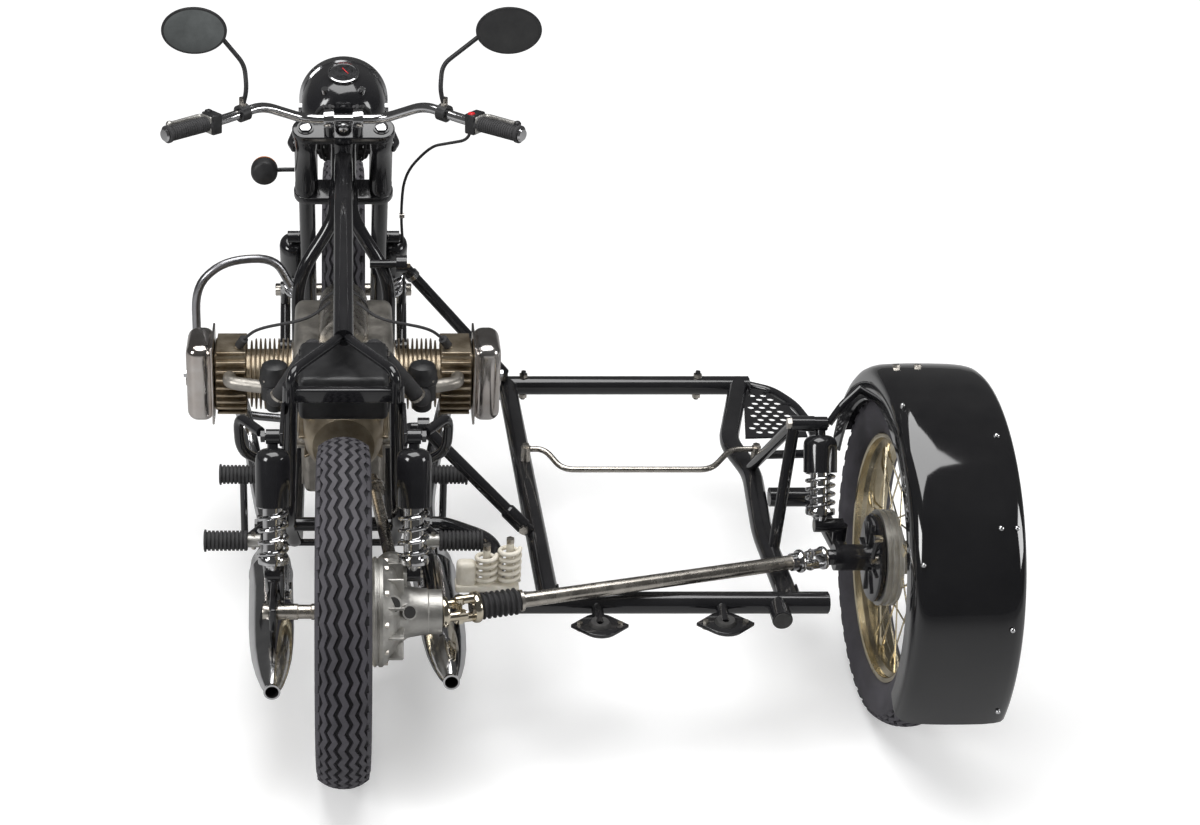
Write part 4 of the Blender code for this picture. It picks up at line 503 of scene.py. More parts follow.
HEAD_Y = 0.7013 * WHEELBASE
RAKE = math.radians(28.0)
UP_HEAD = Vector((0, -math.sin(RAKE), math.cos(RAKE)))
ACROSS = Vector((0, math.cos(RAKE), math.sin(RAKE)))
HEAD_POINT = GROUND + Vector((0, HEAD_Y, HEAD_Z))
SHOCK_X = 0.137
SHOCK_TOP = (0.0805, 0.7422)
SHOCK_FOOT = (0.018, 0.4583)
FRONT_SHOCK_X = 0.122
FRONT_SHOCK_TOP = (0.045, -0.375)
FRONT_SHOCK_FOOT = (0.095, -0.665)
SIDE_SHOCK_X = (TRACK - 0.152) / TRACK
LINK_PIVOT = (-0.02, -0.745)
EYE_BORE = 0.0078
EYE_RADIUS = 0.0145
EYE_HALF = 0.013
COVER_RADIUS = 0.034
COIL_MIDDLE = 0.027
COIL_WIRE = 0.004
COILS = 4.5
GAP = 0.0004


def spot(shares, side=1):
    """A place from its shares of the track, the wheelbase and the head's height."""
    x, y, z = shares
    return GROUND + Vector((side * x * TRACK, y * WHEELBASE, z * HEAD_Z))


def spots(table, side=1):
    return [spot(row, side) for row in table]


def on_head(x, ahead, up):
    """A place from the steering axis: sideways, ahead of it, and up along it."""
    return HEAD_POINT + RIGHT * x + ACROSS * ahead + UP_HEAD * up


def coil(place, middle, wire, low, rise, turns, steps):
    """A spring's wire round a frame's Z: two radii, where it begins, how far it rises and in how many turns."""
    points = []
    for i in range(int(turns * steps) + 1):
        angle = math.tau * i / steps
        up = low + rise * i / (turns * steps)
        point = Vector((middle * math.cos(angle), middle * math.sin(angle), up))
        points.append(place @ point)
    return tube(points, wire, extra=3)


pieces = []


def add(piece, look=ENAMEL):
    """Colours a piece and puts it with the others of the object in hand."""
    pieces.append(coloured(piece, look))


def done(name, body, slot, *replaced, degrees=32):
    """Joins the pieces of the object in hand, finishes it and makes room for the next."""
    dressed(joined(pieces), name, body, replaced, degrees)
    pieces.clear()


units = []
for side, s in SIDES:
    ends = [spot((s * SHOCK_X / TRACK, *place)) for place in (SHOCK_FOOT, SHOCK_TOP)]
    units.append(("rear_shock_" + side, *ends, "chassis", 0.5))
    ends = [on_head(s * FRONT_SHOCK_X, *place) for place in (FRONT_SHOCK_FOOT, FRONT_SHOCK_TOP)]
    units.append(("front_shock_" + side, *ends, "steering", 0.48))
side_foot, side_top = spot((SIDE_SHOCK_X, 0.1745, 0.425)), spot((SIDE_SHOCK_X, 0.24, 0.63))
units.append(("sidecar_shock", side_foot, side_top, "chassis", 0.52))
for name, foot, top, body, cover_share in units:
    way = (top - foot).normalized()
    cover = (top - foot).length * cover_share
    dome = (top - foot).length - 1.6 * EYE_RADIUS
    outline = [
        (0, cover + 0.004), (0.031, cover + 0.004), (0.0316, cover), (COVER_RADIUS, cover),
        (COVER_RADIUS, dome - 0.022), (0.033, dome - 0.014), (0.029, dome - 0.007), (0.021, dome - 0.002),
        (0.013, dome), (0, dome),
    ]
    add(turned(outline, foot, way, 56))
    sleeve = EYE_RADIUS * 2.4
    outline = [
        (0, EYE_RADIUS * 0.5), (0.011, EYE_RADIUS * 0.5), (0.016, EYE_RADIUS * 1.2),
        (0.029, EYE_RADIUS * 1.5), (0.03, EYE_RADIUS * 1.8), (0.03, sleeve - 0.004), (0.029, sleeve),
        (0.02, sleeve), (0.02, cover + 0.01), (0, cover + 0.01),
    ]
    add(turned(outline, foot, way, 56), CHROME)
    low, rise = sleeve + COIL_WIRE, cover + 0.006 - sleeve
    add(coil(standing(foot, way), COIL_MIDDLE, COIL_WIRE, low, rise, COILS, 28), CHROME)
    for end, inward in ((foot, way), (top, -way)):
        add(hollow(end, RIGHT, EYE_BORE, EYE_RADIUS, -EYE_HALF, EYE_HALF))
        neck = end + inward * EYE_RADIUS * 0.9
        add(bar(neck, neck + inward * EYE_RADIUS, 0.0105))
    done(name + "_unit", body, "shock_absorber", name)


# Frame: a welded double cradle of enamelled steel tube, with a head tube, a thick backbone, two rails
# and rear loops that hold the tops of the suspension units. Short gussets and lugs are welded on.

def box(centre, size, bevel=0.002, segments=3, turn=None):
    """A block with rounded edges, turned about its middle where asked."""
    bpy.ops.object.select_all(action="DESELECT")
    bpy.ops.mesh.primitive_cube_add(size=1.0, location=(0, 0, 0) if turn else centre)
    piece = bpy.context.object
    piece.scale = size
    bpy.ops.object.transform_apply(location=True, rotation=True, scale=True)
    if bevel:
        applied(piece, "BEVEL", width=bevel, segments=segments, limit_method="ANGLE")
    if turn:
        piece.matrix_world = Matrix.Translation(centre) @ turn
    return piece


def across(centre, low, high, radius, sides=32):
    """A round bar along X between two offsets from a place."""
    centre = Vector(centre)
    return bar(centre + RIGHT * low, centre + RIGHT * high, radius, sides)


FRAME_TUBE = 0.016
BACKBONE_TUBE = 0.021
STAY_TUBE = 0.01
ARM_TUBE = 0.015
STRUT_RADIUS = 0.0135
HEAD_LOW = -0.135
HEAD_HIGH = 0.045
HEAD_TUBE = 0.029
STEM_BORE = 0.0164
PIVOT_BORE = 0.0088
PIVOT_SHARES = (0.135, 0.2685, 0.3333)
BACKBONE_END_SHARES = (0, 0.2651, 0.8278)
CORNER_SHARES = (0.0919, 0.151, 0.8356)
RAIL_SHARES = (
    # track, wheelbase, head height: from the neck down, back along the bottom and up the seat post
    (0.0159, 0.6846, 0.8222), (0.0928, 0.6644, 0.6778), (0.0928, 0.6644, 0.2056), (0.0928, 0.3356, 0.2056),
    (0.102, 0.2685, 0.3333), (0.102, 0.2013, 0.42), (0.0919, 0.156, 0.8022),
)
HOOP_SHARES = (
    (0.101, 0.19, 0.5456), (0.1811, 0.1342, 0.6578), (0.1837, 0.1342, 0.7456), (0.142, 0.09, 0.745),
)
LOWER_LUG_SHARES = (0.098, 0.185, 0.58)
UPPER_STRUT_SHARES = ((0.118, 0.66, 0.715), (0.335, 0.696, 0.37))
LOWER_STRUT_SHARES = ((0.148, 0.285, 0.58), (0.334, 0.239, 0.358))

low, high = on_head(0, 0, HEAD_LOW), on_head(0, 0, HEAD_HIGH)
tall = HEAD_HIGH - HEAD_LOW
head = [
    (STEM_BORE, 0), (0.0305, 0), (0.0305, 0.012), (HEAD_TUBE, 0.014), (HEAD_TUBE, tall - 0.014),
    (0.0305, tall - 0.012), (0.0305, tall), (STEM_BORE, tall),
]
add(turned(head, low, UP_HEAD, 56))
back_end = spot(BACKBONE_END_SHARES)
add(tube([on_head(0, -HEAD_TUBE + 0.004, HEAD_HIGH - BACKBONE_TUBE * 2.2), back_end], BACKBONE_TUBE))
corner = spot(CORNER_SHARES)
shock_inner = SHOCK_X - EYE_HALF - GAP
for side, s in SIDES:
    neck = on_head(s * 0.018, -HEAD_TUBE + 0.004, HEAD_LOW + FRAME_TUBE * 1.6)
    add(tube([neck, *spots(RAIL_SHARES, s)], FRAME_TUBE, 4 * FRAME_TUBE))
    split = back_end + Vector((s * BACKBONE_TUBE, -BACKBONE_TUBE, 0))
    end = spot(CORNER_SHARES, s)
    drop = end - UP * 4 * FRAME_TUBE
    add(tube([back_end + AHEAD * BACKBONE_TUBE, split, end, drop], STAY_TUBE, 3 * STAY_TUBE))
    add(tube(spots(HOOP_SHARES, s), STAY_TUBE, 3 * STAY_TUBE))
    top = spot((s * SHOCK_X / TRACK, *SHOCK_TOP))
    middle = Vector((GROUND.x, top.y, top.z))
    add(across(middle, s * (shock_inner - 0.004), s * 0.142 * TRACK, 0.0075))
    add(across(middle, s * 0.152, s * 0.16, 0.0125, 6))
    near, far = top.y - EYE_RADIUS, corner.y + 0.008
    flat = (0.008, far - near, 2 * EYE_RADIUS)
    add(box((GROUND.x + s * (shock_inner - 0.004), (near + far) / 2, top.z), flat))
    gusset = on_head(s * 0.012, -HEAD_TUBE - 0.03, HEAD_LOW + 0.075)
    add(box(gusset, (0.004, 0.06, 0.07), 0.0015))
front = spot(RAIL_SHARES[2])
wide = front.x - GROUND.x
add(across((GROUND.x, front.y - 2 * FRAME_TUBE, front.z), -wide, wide, FRAME_TUBE * 0.9))
pivot = spot(PIVOT_SHARES)
wide = pivot.x - GROUND.x
add(hollow(Vector((GROUND.x, pivot.y, pivot.z)), RIGHT, PIVOT_BORE, ARM_TUBE, -wide, wide))
size = (2 * (corner.x - GROUND.x), 2 * STAY_TUBE, 3 * STAY_TUBE)
add(box((GROUND.x, corner.y + STAY_TUBE / 2, corner.z - 5 * STAY_TUBE), size, 0.004))
lug, strut = spot(LOWER_LUG_SHARES), spot(LOWER_STRUT_SHARES[0])
strut.x -= STRUT_RADIUS * 0.9 + GAP
add(tube([lug, strut - RIGHT * 2 * STAY_TUBE, strut], STAY_TUBE, STAY_TUBE))
lug = spot(UPPER_STRUT_SHARES[0])
lug.x -= STRUT_RADIUS * 0.9 + GAP
add(bar((GROUND.x + 0.5 * (lug.x - GROUND.x), lug.y, lug.z), lug, STAY_TUBE))
done("frame_tubes", "chassis", "black_enamel", "frame")


# Rear end: two swinging arms on one pin. The left one clamps the axle in a slotted block with a bright
# spacer, the right one ends at the bevel-drive casting, which has ribs, a ring of bolts and two bosses
# whose near-black end discs are painted shade standing in for recesses.

SPACER = (
    # radius, place along the axle from the wheel's middle
    (0, -0.158), (0.0155, -0.158), (0.016, -0.157), (0.016, -0.146), (0.01, -0.1449), (0.01, -0.1291),
    (0.015, -0.1291), (0.016, -0.128), (0.016, -0.09), (0.014, -0.088), (0.014, -0.064), (0.016, -0.062),
    (0.016, -0.0456), (0.01, -0.0456), (0.01, 0.111), (0, 0.111),
)
middle = Vector((GROUND.x, pivot.y, pivot.z))
arm_x = pivot.x - GROUND.x + GAP + ARM_TUBE
add(across(middle, -arm_x, arm_x, 0.008))
for side, s in SIDES:
    end = spot((s * SHOCK_X / TRACK, 0.04, 0.38056))
    if s > 0:
        end.y += 0.1
    start = middle + RIGHT * s * (arm_x + 0.002)
    add(tube([start, end], ARM_TUBE))
    add(across(middle, s * (arm_x - ARM_TUBE), s * (arm_x + ARM_TUBE), 1.3 * ARM_TUBE, 48))
    add(across(middle, s * (arm_x + ARM_TUBE), s * (arm_x + ARM_TUBE + 0.006), 0.0125, 6))
foot = spot((-SHOCK_X / TRACK, *SHOCK_FOOT))
add(box((GROUND.x - shock_inner + 0.004, foot.y, (foot.z + AXLE_Z) / 2),
        (0.008, 0.035, foot.z - AXLE_Z + 0.018)))
add(across(foot, -EYE_HALF - 0.004, EYE_HALF + 0.005, 0.0074))
add(box((GROUND.x - SHOCK_X, GROUND.y + 0.018, AXLE_Z), (0.014, 0.105, 0.051), 0.004))
done("swing_arms", "chassis", "black_enamel", "swing_arm")
add(turned(SPACER, REAR_AXLE, RIGHT, 48), STEEL)
done("rear_axle_and_spacer", "chassis", "bright_steel", "rear_axle")

DRIVE_OUTLINE = (
    # radius, distance from the wheel's middle
    (0.011, 0.052), (0.098, 0.052), (0.1, 0.0535), (0.108, 0.06), (0.108, 0.064), (0.105, 0.065),
    (0.105, 0.068), (0.108, 0.069), (0.108, 0.076), (0.104, 0.08), (0.09, 0.094), (0.086, 0.099),
    (0.064, 0.108), (0.06, 0.113), (0.052, 0.124), (0.05, 0.13), (0.046, 0.152), (0.046, 0.164),
    (0.044, 0.166), (0.044, 0.192), (0.011, 0.192),
)
NECK_OUTLINE = (
    (0, 0.02), (0.0405, 0.02), (0.038, 0.08), (0.035, 0.095), (0.035, 0.13), (0.039, 0.134), (0.039, 0.15),
    (0.0345, 0.154), (0.032, 0.172), (0.03, 0.175), (0, 0.175),
)
# Near-black finish for the two discs on the casting: painted shade in place of real recesses.
RECESS_PAINTED_SHADE = finish("recess_painted_shade", (0.01, 0.01, 0.01), (0.03, 0.028, 0.026), (0.5, 0.7), scale=30)
add(turned(DRIVE_OUTLINE, REAR_AXLE, RIGHT, 96), ALLOY)
add(turned(NECK_OUTLINE, REAR_AXLE + RIGHT * 0.098, AHEAD, 56), ALLOY)
for i in range(10):
    angle = math.tau * (i + 0.5) / 10
    out = round_axle(0.083, 0.0985, angle)
    add(across(REAR_AXLE + out, -0.01, 0.004, 0.0065, 6), STEEL)
    rib, turn = round_axle(0.1, 0.076, angle + 0.3), Matrix.Rotation(angle + 0.3, 4, "X")
    add(box(REAR_AXLE + rib, (0.034, 0.044, 0.005), 0.0015, turn=turn), ALLOY)
# Two alloy bosses, each capped with a near-black disc that is painted shade, not a cut recess.
for place, radius in (((0.093, -0.06, 0.056), 0.015), ((0.126, -0.047, 0.03), 0.012)):
    spot_at = REAR_AXLE + Vector(place)
    out = Vector((0.35, -0.8, 0.5)).normalized()
    add(bar(spot_at - out * 0.03, spot_at + out * 0.006, radius * 1.25, 32), ALLOY)
    add(bar(spot_at - out * 0.01, spot_at + out * 0.0065, radius, 32), RECESS_PAINTED_SHADE)
foot = spot((SHOCK_X / TRACK, *SHOCK_FOOT))
add(box((GROUND.x + shock_inner - 0.004, foot.y, (foot.z + AXLE_Z + 0.02) / 2),
        (0.008, 0.035, foot.z - AXLE_Z + 0.004)), ALLOY)
add(across(foot, -EYE_HALF - 0.004, EYE_HALF + 0.005, 0.0074), STEEL)
done("bevel_drive_casting", "chassis", "cast_alloy", "final_drive")


# Engine and gearbox: sand-cast alloy, grey on the case and bronze where heat has stained it. The case is
# two halves with a bolted joint, over a ribbed sump; the gearbox tapers back with webs to its output.

def rig(x, y, z):
    """A place from the ground under the rear axle."""
    return GROUND + Vector((x, y, z))


CYLINDER_Y, CYLINDER_Z = 0.77, 0.47
HEAD_X = 0.2514
GEARBOX_Z = 0.4494
CASE = finish("engine_case", (0.3, 0.28, 0.25), (0.58, 0.55, 0.5), (0.32, 0.5), 0.9, scale=20, contrast=0.2,
              bump=0.35)
STAINED = finish("heat_stained_alloy", (0.24, 0.19, 0.13), (0.52, 0.45, 0.34), (0.3, 0.46), 0.9, scale=16,
                 bump=0.25)
for z, size, bevel, segments in (
    (0.47, (0.22, 0.28, 0.24), 0.022, 5), (0.298, (0.176, 0.236, 0.155), 0.014, 4),
    (0.356, (0.226, 0.286, 0.008), 0.002, 3), (0.47, (0.01, 0.288, 0.246), 0.003, 3),
):
    add(box(rig(0, 0.78, z), size, bevel, segments), CASE)
for i in range(9):
    add(box(rig(0, 0.684 + 0.024 * i, 0.29), (0.188, 0.006, 0.11), 0.0015), CASE)
for side, s in SIDES:
    for y in (0.668, 0.74, 0.82, 0.892):
        add(bar(rig(s * 0.102, y, 0.358), rig(s * 0.102, y, 0.37), 0.006, 6), STEEL)
    ring = rig(s * 0.11, CYLINDER_Y, CYLINDER_Z)
    add(across(ring, -s * 0.006, s * 0.004, 0.074, 48), CASE)
cover = [
    (0, 0), (0.0968, 0), (0.0968, 0.006), (0.093, 0.01), (0.088, 0.022), (0.07, 0.026), (0.05, 0.0308),
    (0, 0.0308),
]
add(turned(cover, rig(0, 0.916, 0.4716), AHEAD, 64), CASE)
dynamo = [
    (0, 0), (0.04, 0), (0.052, 0.006), (0.055, 0.014), (0.055, 0.196), (0.052, 0.204), (0.04, 0.21),
    (0, 0.21),
]
add(turned(dynamo, rig(0, 0.898, 0.59), -AHEAD, 56), STEEL)
add(hollow(rig(0, 0.898, 0.59), -AHEAD, 0.0545, 0.0572, 0.06, 0.072, 56), RUBBER)
gearbox = [
    (0, 0), (0.1122, 0), (0.1122, 0.02), (0.108, 0.026), (0.09, 0.05), (0.088, 0.056), (0.086, 0.12),
    (0.0836, 0.138), (0.07, 0.168), (0.066, 0.175), (0, 0.175),
]
add(turned(gearbox, rig(0, 0.644, GEARBOX_Z), -AHEAD, 80), STAINED)
for i in range(12):
    angle = math.tau * i / 12
    place = rig(0.089 * math.sin(angle), 0.565, GEARBOX_Z + 0.089 * math.cos(angle))
    add(box(place, (0.006, 0.11, 0.016), 0.002, turn=Matrix.Rotation(angle, 4, "Y")), STAINED)
    bolt = rig(0.101 * math.sin(angle + 0.26), 0.626, GEARBOX_Z + 0.101 * math.cos(angle + 0.26))
    add(bar(bolt, bolt - AHEAD * 0.01, 0.0055, 6), STEEL)
add(box(rig(0, 0.56, 0.535), (0.09, 0.09, 0.02), 0.005), CASE)
for x, y in ((-0.036, 0.525), (0.036, 0.525), (-0.036, 0.595), (0.036, 0.595)):
    add(bar(rig(x, y, 0.54), rig(x, y, 0.55), 0.0055, 6), STEEL)
done("engine_casing", "chassis", "cast_alloy", "engine")


# Cylinders: a finned barrel and a finned head a side, warm gold-brown from heat, with the spark plug's
# black cap on top. The rocker cover outside them is polished and carries one nut on its rib.

FIN_GOLD = finish("heated_fins", (0.26, 0.2, 0.13), (0.62, 0.54, 0.42), (0.28, 0.44), 0.9, scale=18,
                  contrast=0.2, bump=0.2)
COVER_WARM = finish("polished_cover", (0.5, 0.44, 0.4), (0.8, 0.78, 0.76), (0.1, 0.24), 1.0, scale=11,
                    bump=0.03)
for side, s in SIDES:
    outline = [(0, 0), (0.07, 0), (0.07, 0.006), (0.056, 0.007)]
    for i in range(9):
        fin = 0.011 + 0.0102 * i
        wide = 0.08 if i < 8 else 0.076
        outline += [
            (0.056, fin), (wide - 0.001, fin + 0.0016), (wide, fin + 0.0028), (wide - 0.001, fin + 0.004),
            (0.056, fin + 0.0054),
        ]
    outline += [(0.056, 0.105), (0, 0.105)]
    base = rig(s * 0.1104, CYLINDER_Y, CYLINDER_Z)
    add(turned(outline, base, RIGHT * s, 80), FIN_GOLD)
    middle = rig(s * HEAD_X, CYLINDER_Y, CYLINDER_Z)
    add(box(middle, (0.072, 0.093, 0.14), 0.006), FIN_GOLD)
    for i in range(9):
        share = i / 8
        deep = 0.15 * (1 - 0.35 * (2 * share - 1) ** 2)
        fin = middle + Vector((-s * 0.002, 0, 0.15 * (share - 0.5)))
        add(box(fin, (0.066, deep, 0.0052), 0.0016), FIN_GOLD)
    plug = middle + Vector((-s * 0.012, -0.02, 0.07))
    tip = plug + Vector((-s * 0.02, -0.018, 0.036))
    add(bar(plug, plug.lerp(tip, 0.5), 0.008, 6), STEEL)
    add(bar(plug.lerp(tip, 0.4), tip, 0.01), RUBBER)
    lead = [tip, tip + Vector((-s * 0.03, -0.01, 0.03)), rig(s * 0.075, 0.7, 0.64),
            rig(s * 0.03, 0.76, 0.652)]
    add(tube(lead, 0.0034, 0.04), RUBBER)
    done("finned_cylinder_" + side, "chassis", "cast_alloy", "cylinder_" + side)
    centre = rig(s * 0.319, CYLINDER_Y, CYLINDER_Z)
    add(box(centre, (0.061, 0.125, 0.188), 0.024, 7), COVER_WARM)
    add(box(centre + RIGHT * s * 0.002, (0.061, 0.09, 0.023), 0.006, 4), COVER_WARM)
    add(box(centre - RIGHT * s * 0.028, (0.005, 0.129, 0.192), 0.002), COVER_WARM)
    add(across(centre, s * 0.03, s * 0.0395, 0.009, 6), CHROME)
    done("polished_rocker_cover_" + side, "chassis", "chrome", "rocker_cover_" + side, degrees=40)


# Breathing: constant-vacuum carburettors with dark domes, ribbed black hoses from an air box under the
# backbone, and bright clips where the hoses end.

for (side, s), x in zip(SIDES, (0.15, 0.1721)):
    foot = rig(s * x, 0.6407, 0.4795)
    outline = [
        (0, -0.03), (0.018, -0.03), (0.0204, -0.027), (0.0204, -0.002), (0.0306, 0), (0.0306, 0.036),
        (0.034, 0.04), (0.034, 0.046), (0.0325, 0.049), (0.0322, 0.064), (0.027, 0.078), (0.016, 0.084),
        (0, 0.085),
    ]
    add(turned(outline, foot, UP, 48), PLASTIC)
    for i in range(4):
        angle = math.tau * (i + 0.5) / 4
        screw = foot + Vector((0.03 * math.cos(angle), 0.03 * math.sin(angle), 0.046))
        add(bar(screw, screw + UP * 0.006, 0.0036, 8), STEEL)
    level = foot + UP * 0.021
    port = rig(s * HEAD_X, 0.6946, level.z)
    add(tube([level, port - AHEAD * 0.027, port], 0.015, 0.03), CASE)
    mouth = rig(s * 0.0634, 0.4847, 0.6678)
    knee = mouth + AHEAD * 0.036
    low_bend = level - AHEAD * 0.068
    add(tube([mouth, knee, low_bend, level], 0.0175, 0.03), RUBBER)
    for share in (0.15, 0.85):
        way = (low_bend - knee).normalized()
        clip = knee.lerp(low_bend, share)
        add(hollow(clip, way, 0.017, 0.0188, 0, 0.007), STEEL)
    done("carburettor_and_hose_" + side, "chassis", "black_plastic", "carburettor_" + side)
low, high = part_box("air_box")
add(box((low + high) / 2, high - low, 0.012, 4), PLASTIC)
for i in range(5):
    y = low.y + (high.y - low.y) * (i + 1) / 6
    middle = Vector(((low.x + high.x) / 2, y, (low.z + high.z) / 2))
    add(box(middle, (high.x - low.x + 0.004, 0.004, high.z - low.z - 0.01), 0.0015), PLASTIC)
done("ribbed_air_box", "chassis", "black_plastic", "air_box")


# Exhausts: plated header pipes clamped to the heads by finned nuts, sweeping down and back into torpedo
# mufflers rolled from sheet, with a seam ring near the front and a rimmed outlet: a shallow closed cup
# painted near black inside, as soot and as painted shade of the pipe's depth.

HEADER_SHARES = (
    (0.217, 0.6, 0.405), (0.212, 0.635, 0.33), (0.19, 0.59, 0.245), (0.164, 0.44, 0.23),
)
MUFFLER_START_SHARES = ((0.14, 0.315, 0.235), (0.164, 0.315, 0.233))
MUFFLER_TIP_SHARES = ((0.121, -0.1, 0.285), (0.184, -0.0805, 0.288))
# Near black inside the outlet: soot, and painted shade where the pipe would run deep.
SOOT_AND_PAINTED_SHADE = finish("exhaust_soot_and_painted_shade", (0.004, 0.004, 0.004), (0.012, 0.011, 0.01), (0.8, 0.95), scale=60)
MUFFLER_OUTLINE = (
    # radius in metres, share of the length
    (0, 0.0), (0.019, 0.0), (0.0205, 0.03), (0.03, 0.09), (0.0425, 0.16), (0.0455, 0.23), (0.0468, 0.236),
    (0.0468, 0.25), (0.0458, 0.256), (0.046, 0.42), (0.046, 0.6), (0.044, 0.7), (0.04, 0.79), (0.033, 0.87),
    (0.024, 0.94), (0.017, 0.975), (0.015, 0.985), (0.0164, 0.99), (0.0164, 1.0), (0.013, 1.0), (0.0125, 0.9),
    (0, 0.9),
)
MOUTH_SHARE, MOUTH_RADIUS = 0.895, 0.0129


def in_mouth(at):
    """Whether a place on the muffler in hand is inside its outlet."""
    along = (at - start).dot(way)
    return along > length * MOUTH_SHARE and (at - start - way * along).length < MOUTH_RADIUS


for i, (side, s) in enumerate(SIDES):
    start, tip = spot(MUFFLER_START_SHARES[i], s), spot(MUFFLER_TIP_SHARES[i], s)
    way, length = (tip - start).normalized(), (tip - start).length
    body = turned([(radius, share * length) for radius, share in MUFFLER_OUTLINE], start, tip - start, 64)
    port = rig(s * HEAD_X, 0.8454, 0.451)
    path = [port, port + AHEAD * 0.019, *spots(HEADER_SHARES, s), start + way * 0.004]
    # The outlet's inside gets the soot and painted-shade finish.
    pieces.append(parted(body, CHROME, SOOT_AND_PAINTED_SHADE, in_mouth))
    add(tube(path, 0.019, 0.057), CHROME)
    nut = [(0.0186, 0)]
    for j in range(4):
        nut += [(0.028, 0.0015 + 0.005 * j), (0.028, 0.0035 + 0.005 * j), (0.0215, 0.0045 + 0.005 * j)]
    nut += [(0.0186, 0.02)]
    add(turned(nut, port, AHEAD, 40), STEEL)
    hold = start.lerp(tip, 0.45) + Vector((-s * 0.04, 0, 0.03))
    add(box(hold, (0.006, 0.03, 0.034), 0.0015), CHROME)
    done("exhaust_and_muffler_" + side, "chassis", "chrome", "exhaust_" + side, degrees=40)

tip = REAR_AXLE + Vector((0.098, 0.1746, 0))
start = rig(0.0616, 0.4641, 0.3755)
way = (tip - start).normalized()
add(bar(start, tip, 0.013, 32), STEEL)
flange = [
    (0.013, 0), (0.021, 0), (0.0221, 0.002), (0.0221, 0.008), (0.019, 0.01), (0.019, 0.012), (0.0221, 0.014),
    (0.0221, 0.0195), (0.013, 0.0195),
]
add(turned(flange, start + way * 0.026, way, 40), STEEL)
done("propeller_shaft", "chassis", "bright_steel", "drive_shaft")


# Rests and guard: ribbed rubber sleeves on bent steel bars, and a thick plated crash bar round the left
# cylinder that is clamped to the down tube.

def rest(start, s):
    """One ribbed sleeve with a flanged end."""
    outline = [(0, 0), (0.019, 0)]
    for i in range(10):
        along = 0.002 + 0.0083 * i
        outline += [
            (0.021, along), (0.021, along + 0.0048), (0.0178, along + 0.0058), (0.0178, along + 0.0077),
        ]
    outline += [(0.0231, 0.0855), (0.0231, 0.089), (0.02, 0.0901), (0, 0.0901)]
    add(turned(outline, start, RIGHT * s, 40), RUBBER)


PEG_BAR = 0.008
left, right = spot((0.16, 0.37, 0.372), -1), spot((0.16, 0.37, 0.372), 1)
low = 0.2056 * HEAD_Z - FRAME_TUBE - GAP - PEG_BAR
ends = [left - RIGHT * 0.038, right + RIGHT * 0.038]
path = [ends[0], Vector((ends[0].x, ends[0].y, low)), Vector((ends[1].x, ends[1].y, low)), ends[1]]
add(tube(path, PEG_BAR, 0.024))
rest(left, -1)
rest(right, 1)
done("rider_rests", "chassis", "black_rubber", "rider_pegs")
for side, s in SIDES:
    start = spot((0.174, 0.168, 0.39), s)
    foot = spot(RAIL_SHARES[4], s).lerp(spot(RAIL_SHARES[5], s), 0.65) + RIGHT * s * (FRAME_TUBE + GAP)
    add(tube([foot, foot + RIGHT * s * 0.02, start + RIGHT * s * 0.008], PEG_BAR, 0.01))
    add(across(start, -s * 0.026, s * 0.004, 0.014, 24), ALLOY)
    pin = start - RIGHT * s * 0.012
    add(bar(pin - UP * 0.019, pin + UP * 0.019, 0.005, 12), STEEL)
    rest(start, s)
    done("passenger_rest_" + side, "chassis", "black_rubber", "passenger_peg_" + side)
GUARD_SHARES = (
    (0.1075, 0.6644, 0.65), (0.14, 0.6644, 0.73), (0.24, 0.645, 0.735), (0.3, 0.638, 0.67),
    (0.3, 0.638, 0.48), (0.23, 0.66, 0.28), (0.1085, 0.6644, 0.26),
)
GUARD_GREY = finish("guard_plating", (0.2, 0.2, 0.21), (0.5, 0.5, 0.52), (0.2, 0.4), 1.0, scale=12, bump=0.03)
add(tube(spots(GUARD_SHARES, -1), STAY_TUBE, 6 * STAY_TUBE, 6), GUARD_GREY)
done("plated_crash_bar", "chassis", "bright_steel", "engine_guard")


# Fork: two forged crowns on a stem, tin covers over the upper legs, enamelled legs that bend back to the
# pivots, and short leading links that carry the front axle between them.

def plate(outline, thickness, place, bevel=0.0):
    """A flat outline extruded along its own Z, set in place, with its rims rounded."""
    bpy.ops.object.select_all(action="DESELECT")
    bpy.ops.mesh.primitive_circle_add(vertices=len(outline), fill_type="NGON")
    piece = bpy.context.object
    for corner, (x, y) in zip(piece.data.vertices, outline):
        corner.co = (x, y, 0)
    bpy.ops.object.mode_set(mode="EDIT")
    bpy.ops.mesh.select_all(action="SELECT")
    bpy.ops.mesh.extrude_region_move(TRANSFORM_OT_translate={"value": (0, 0, thickness)})
    bpy.ops.mesh.select_all(action="SELECT")
    bpy.ops.mesh.normals_make_consistent(inside=False)
    bpy.ops.object.mode_set(mode="OBJECT")
    if bevel:
        applied(piece, "BEVEL", width=bevel, segments=3, limit_method="ANGLE")
    piece.matrix_world = place
    pick(piece)
    bpy.ops.object.transform_apply(location=True, rotation=True, scale=True)
    return piece


def arc(centre, radius, first, last, steps):
    """Points of an arc, angles in degrees."""
    turns = [math.radians(first + (last - first) * i / steps) for i in range(steps + 1)]
    return [(centre[0] + radius * math.cos(a), centre[1] + radius * math.sin(a)) for a in turns]


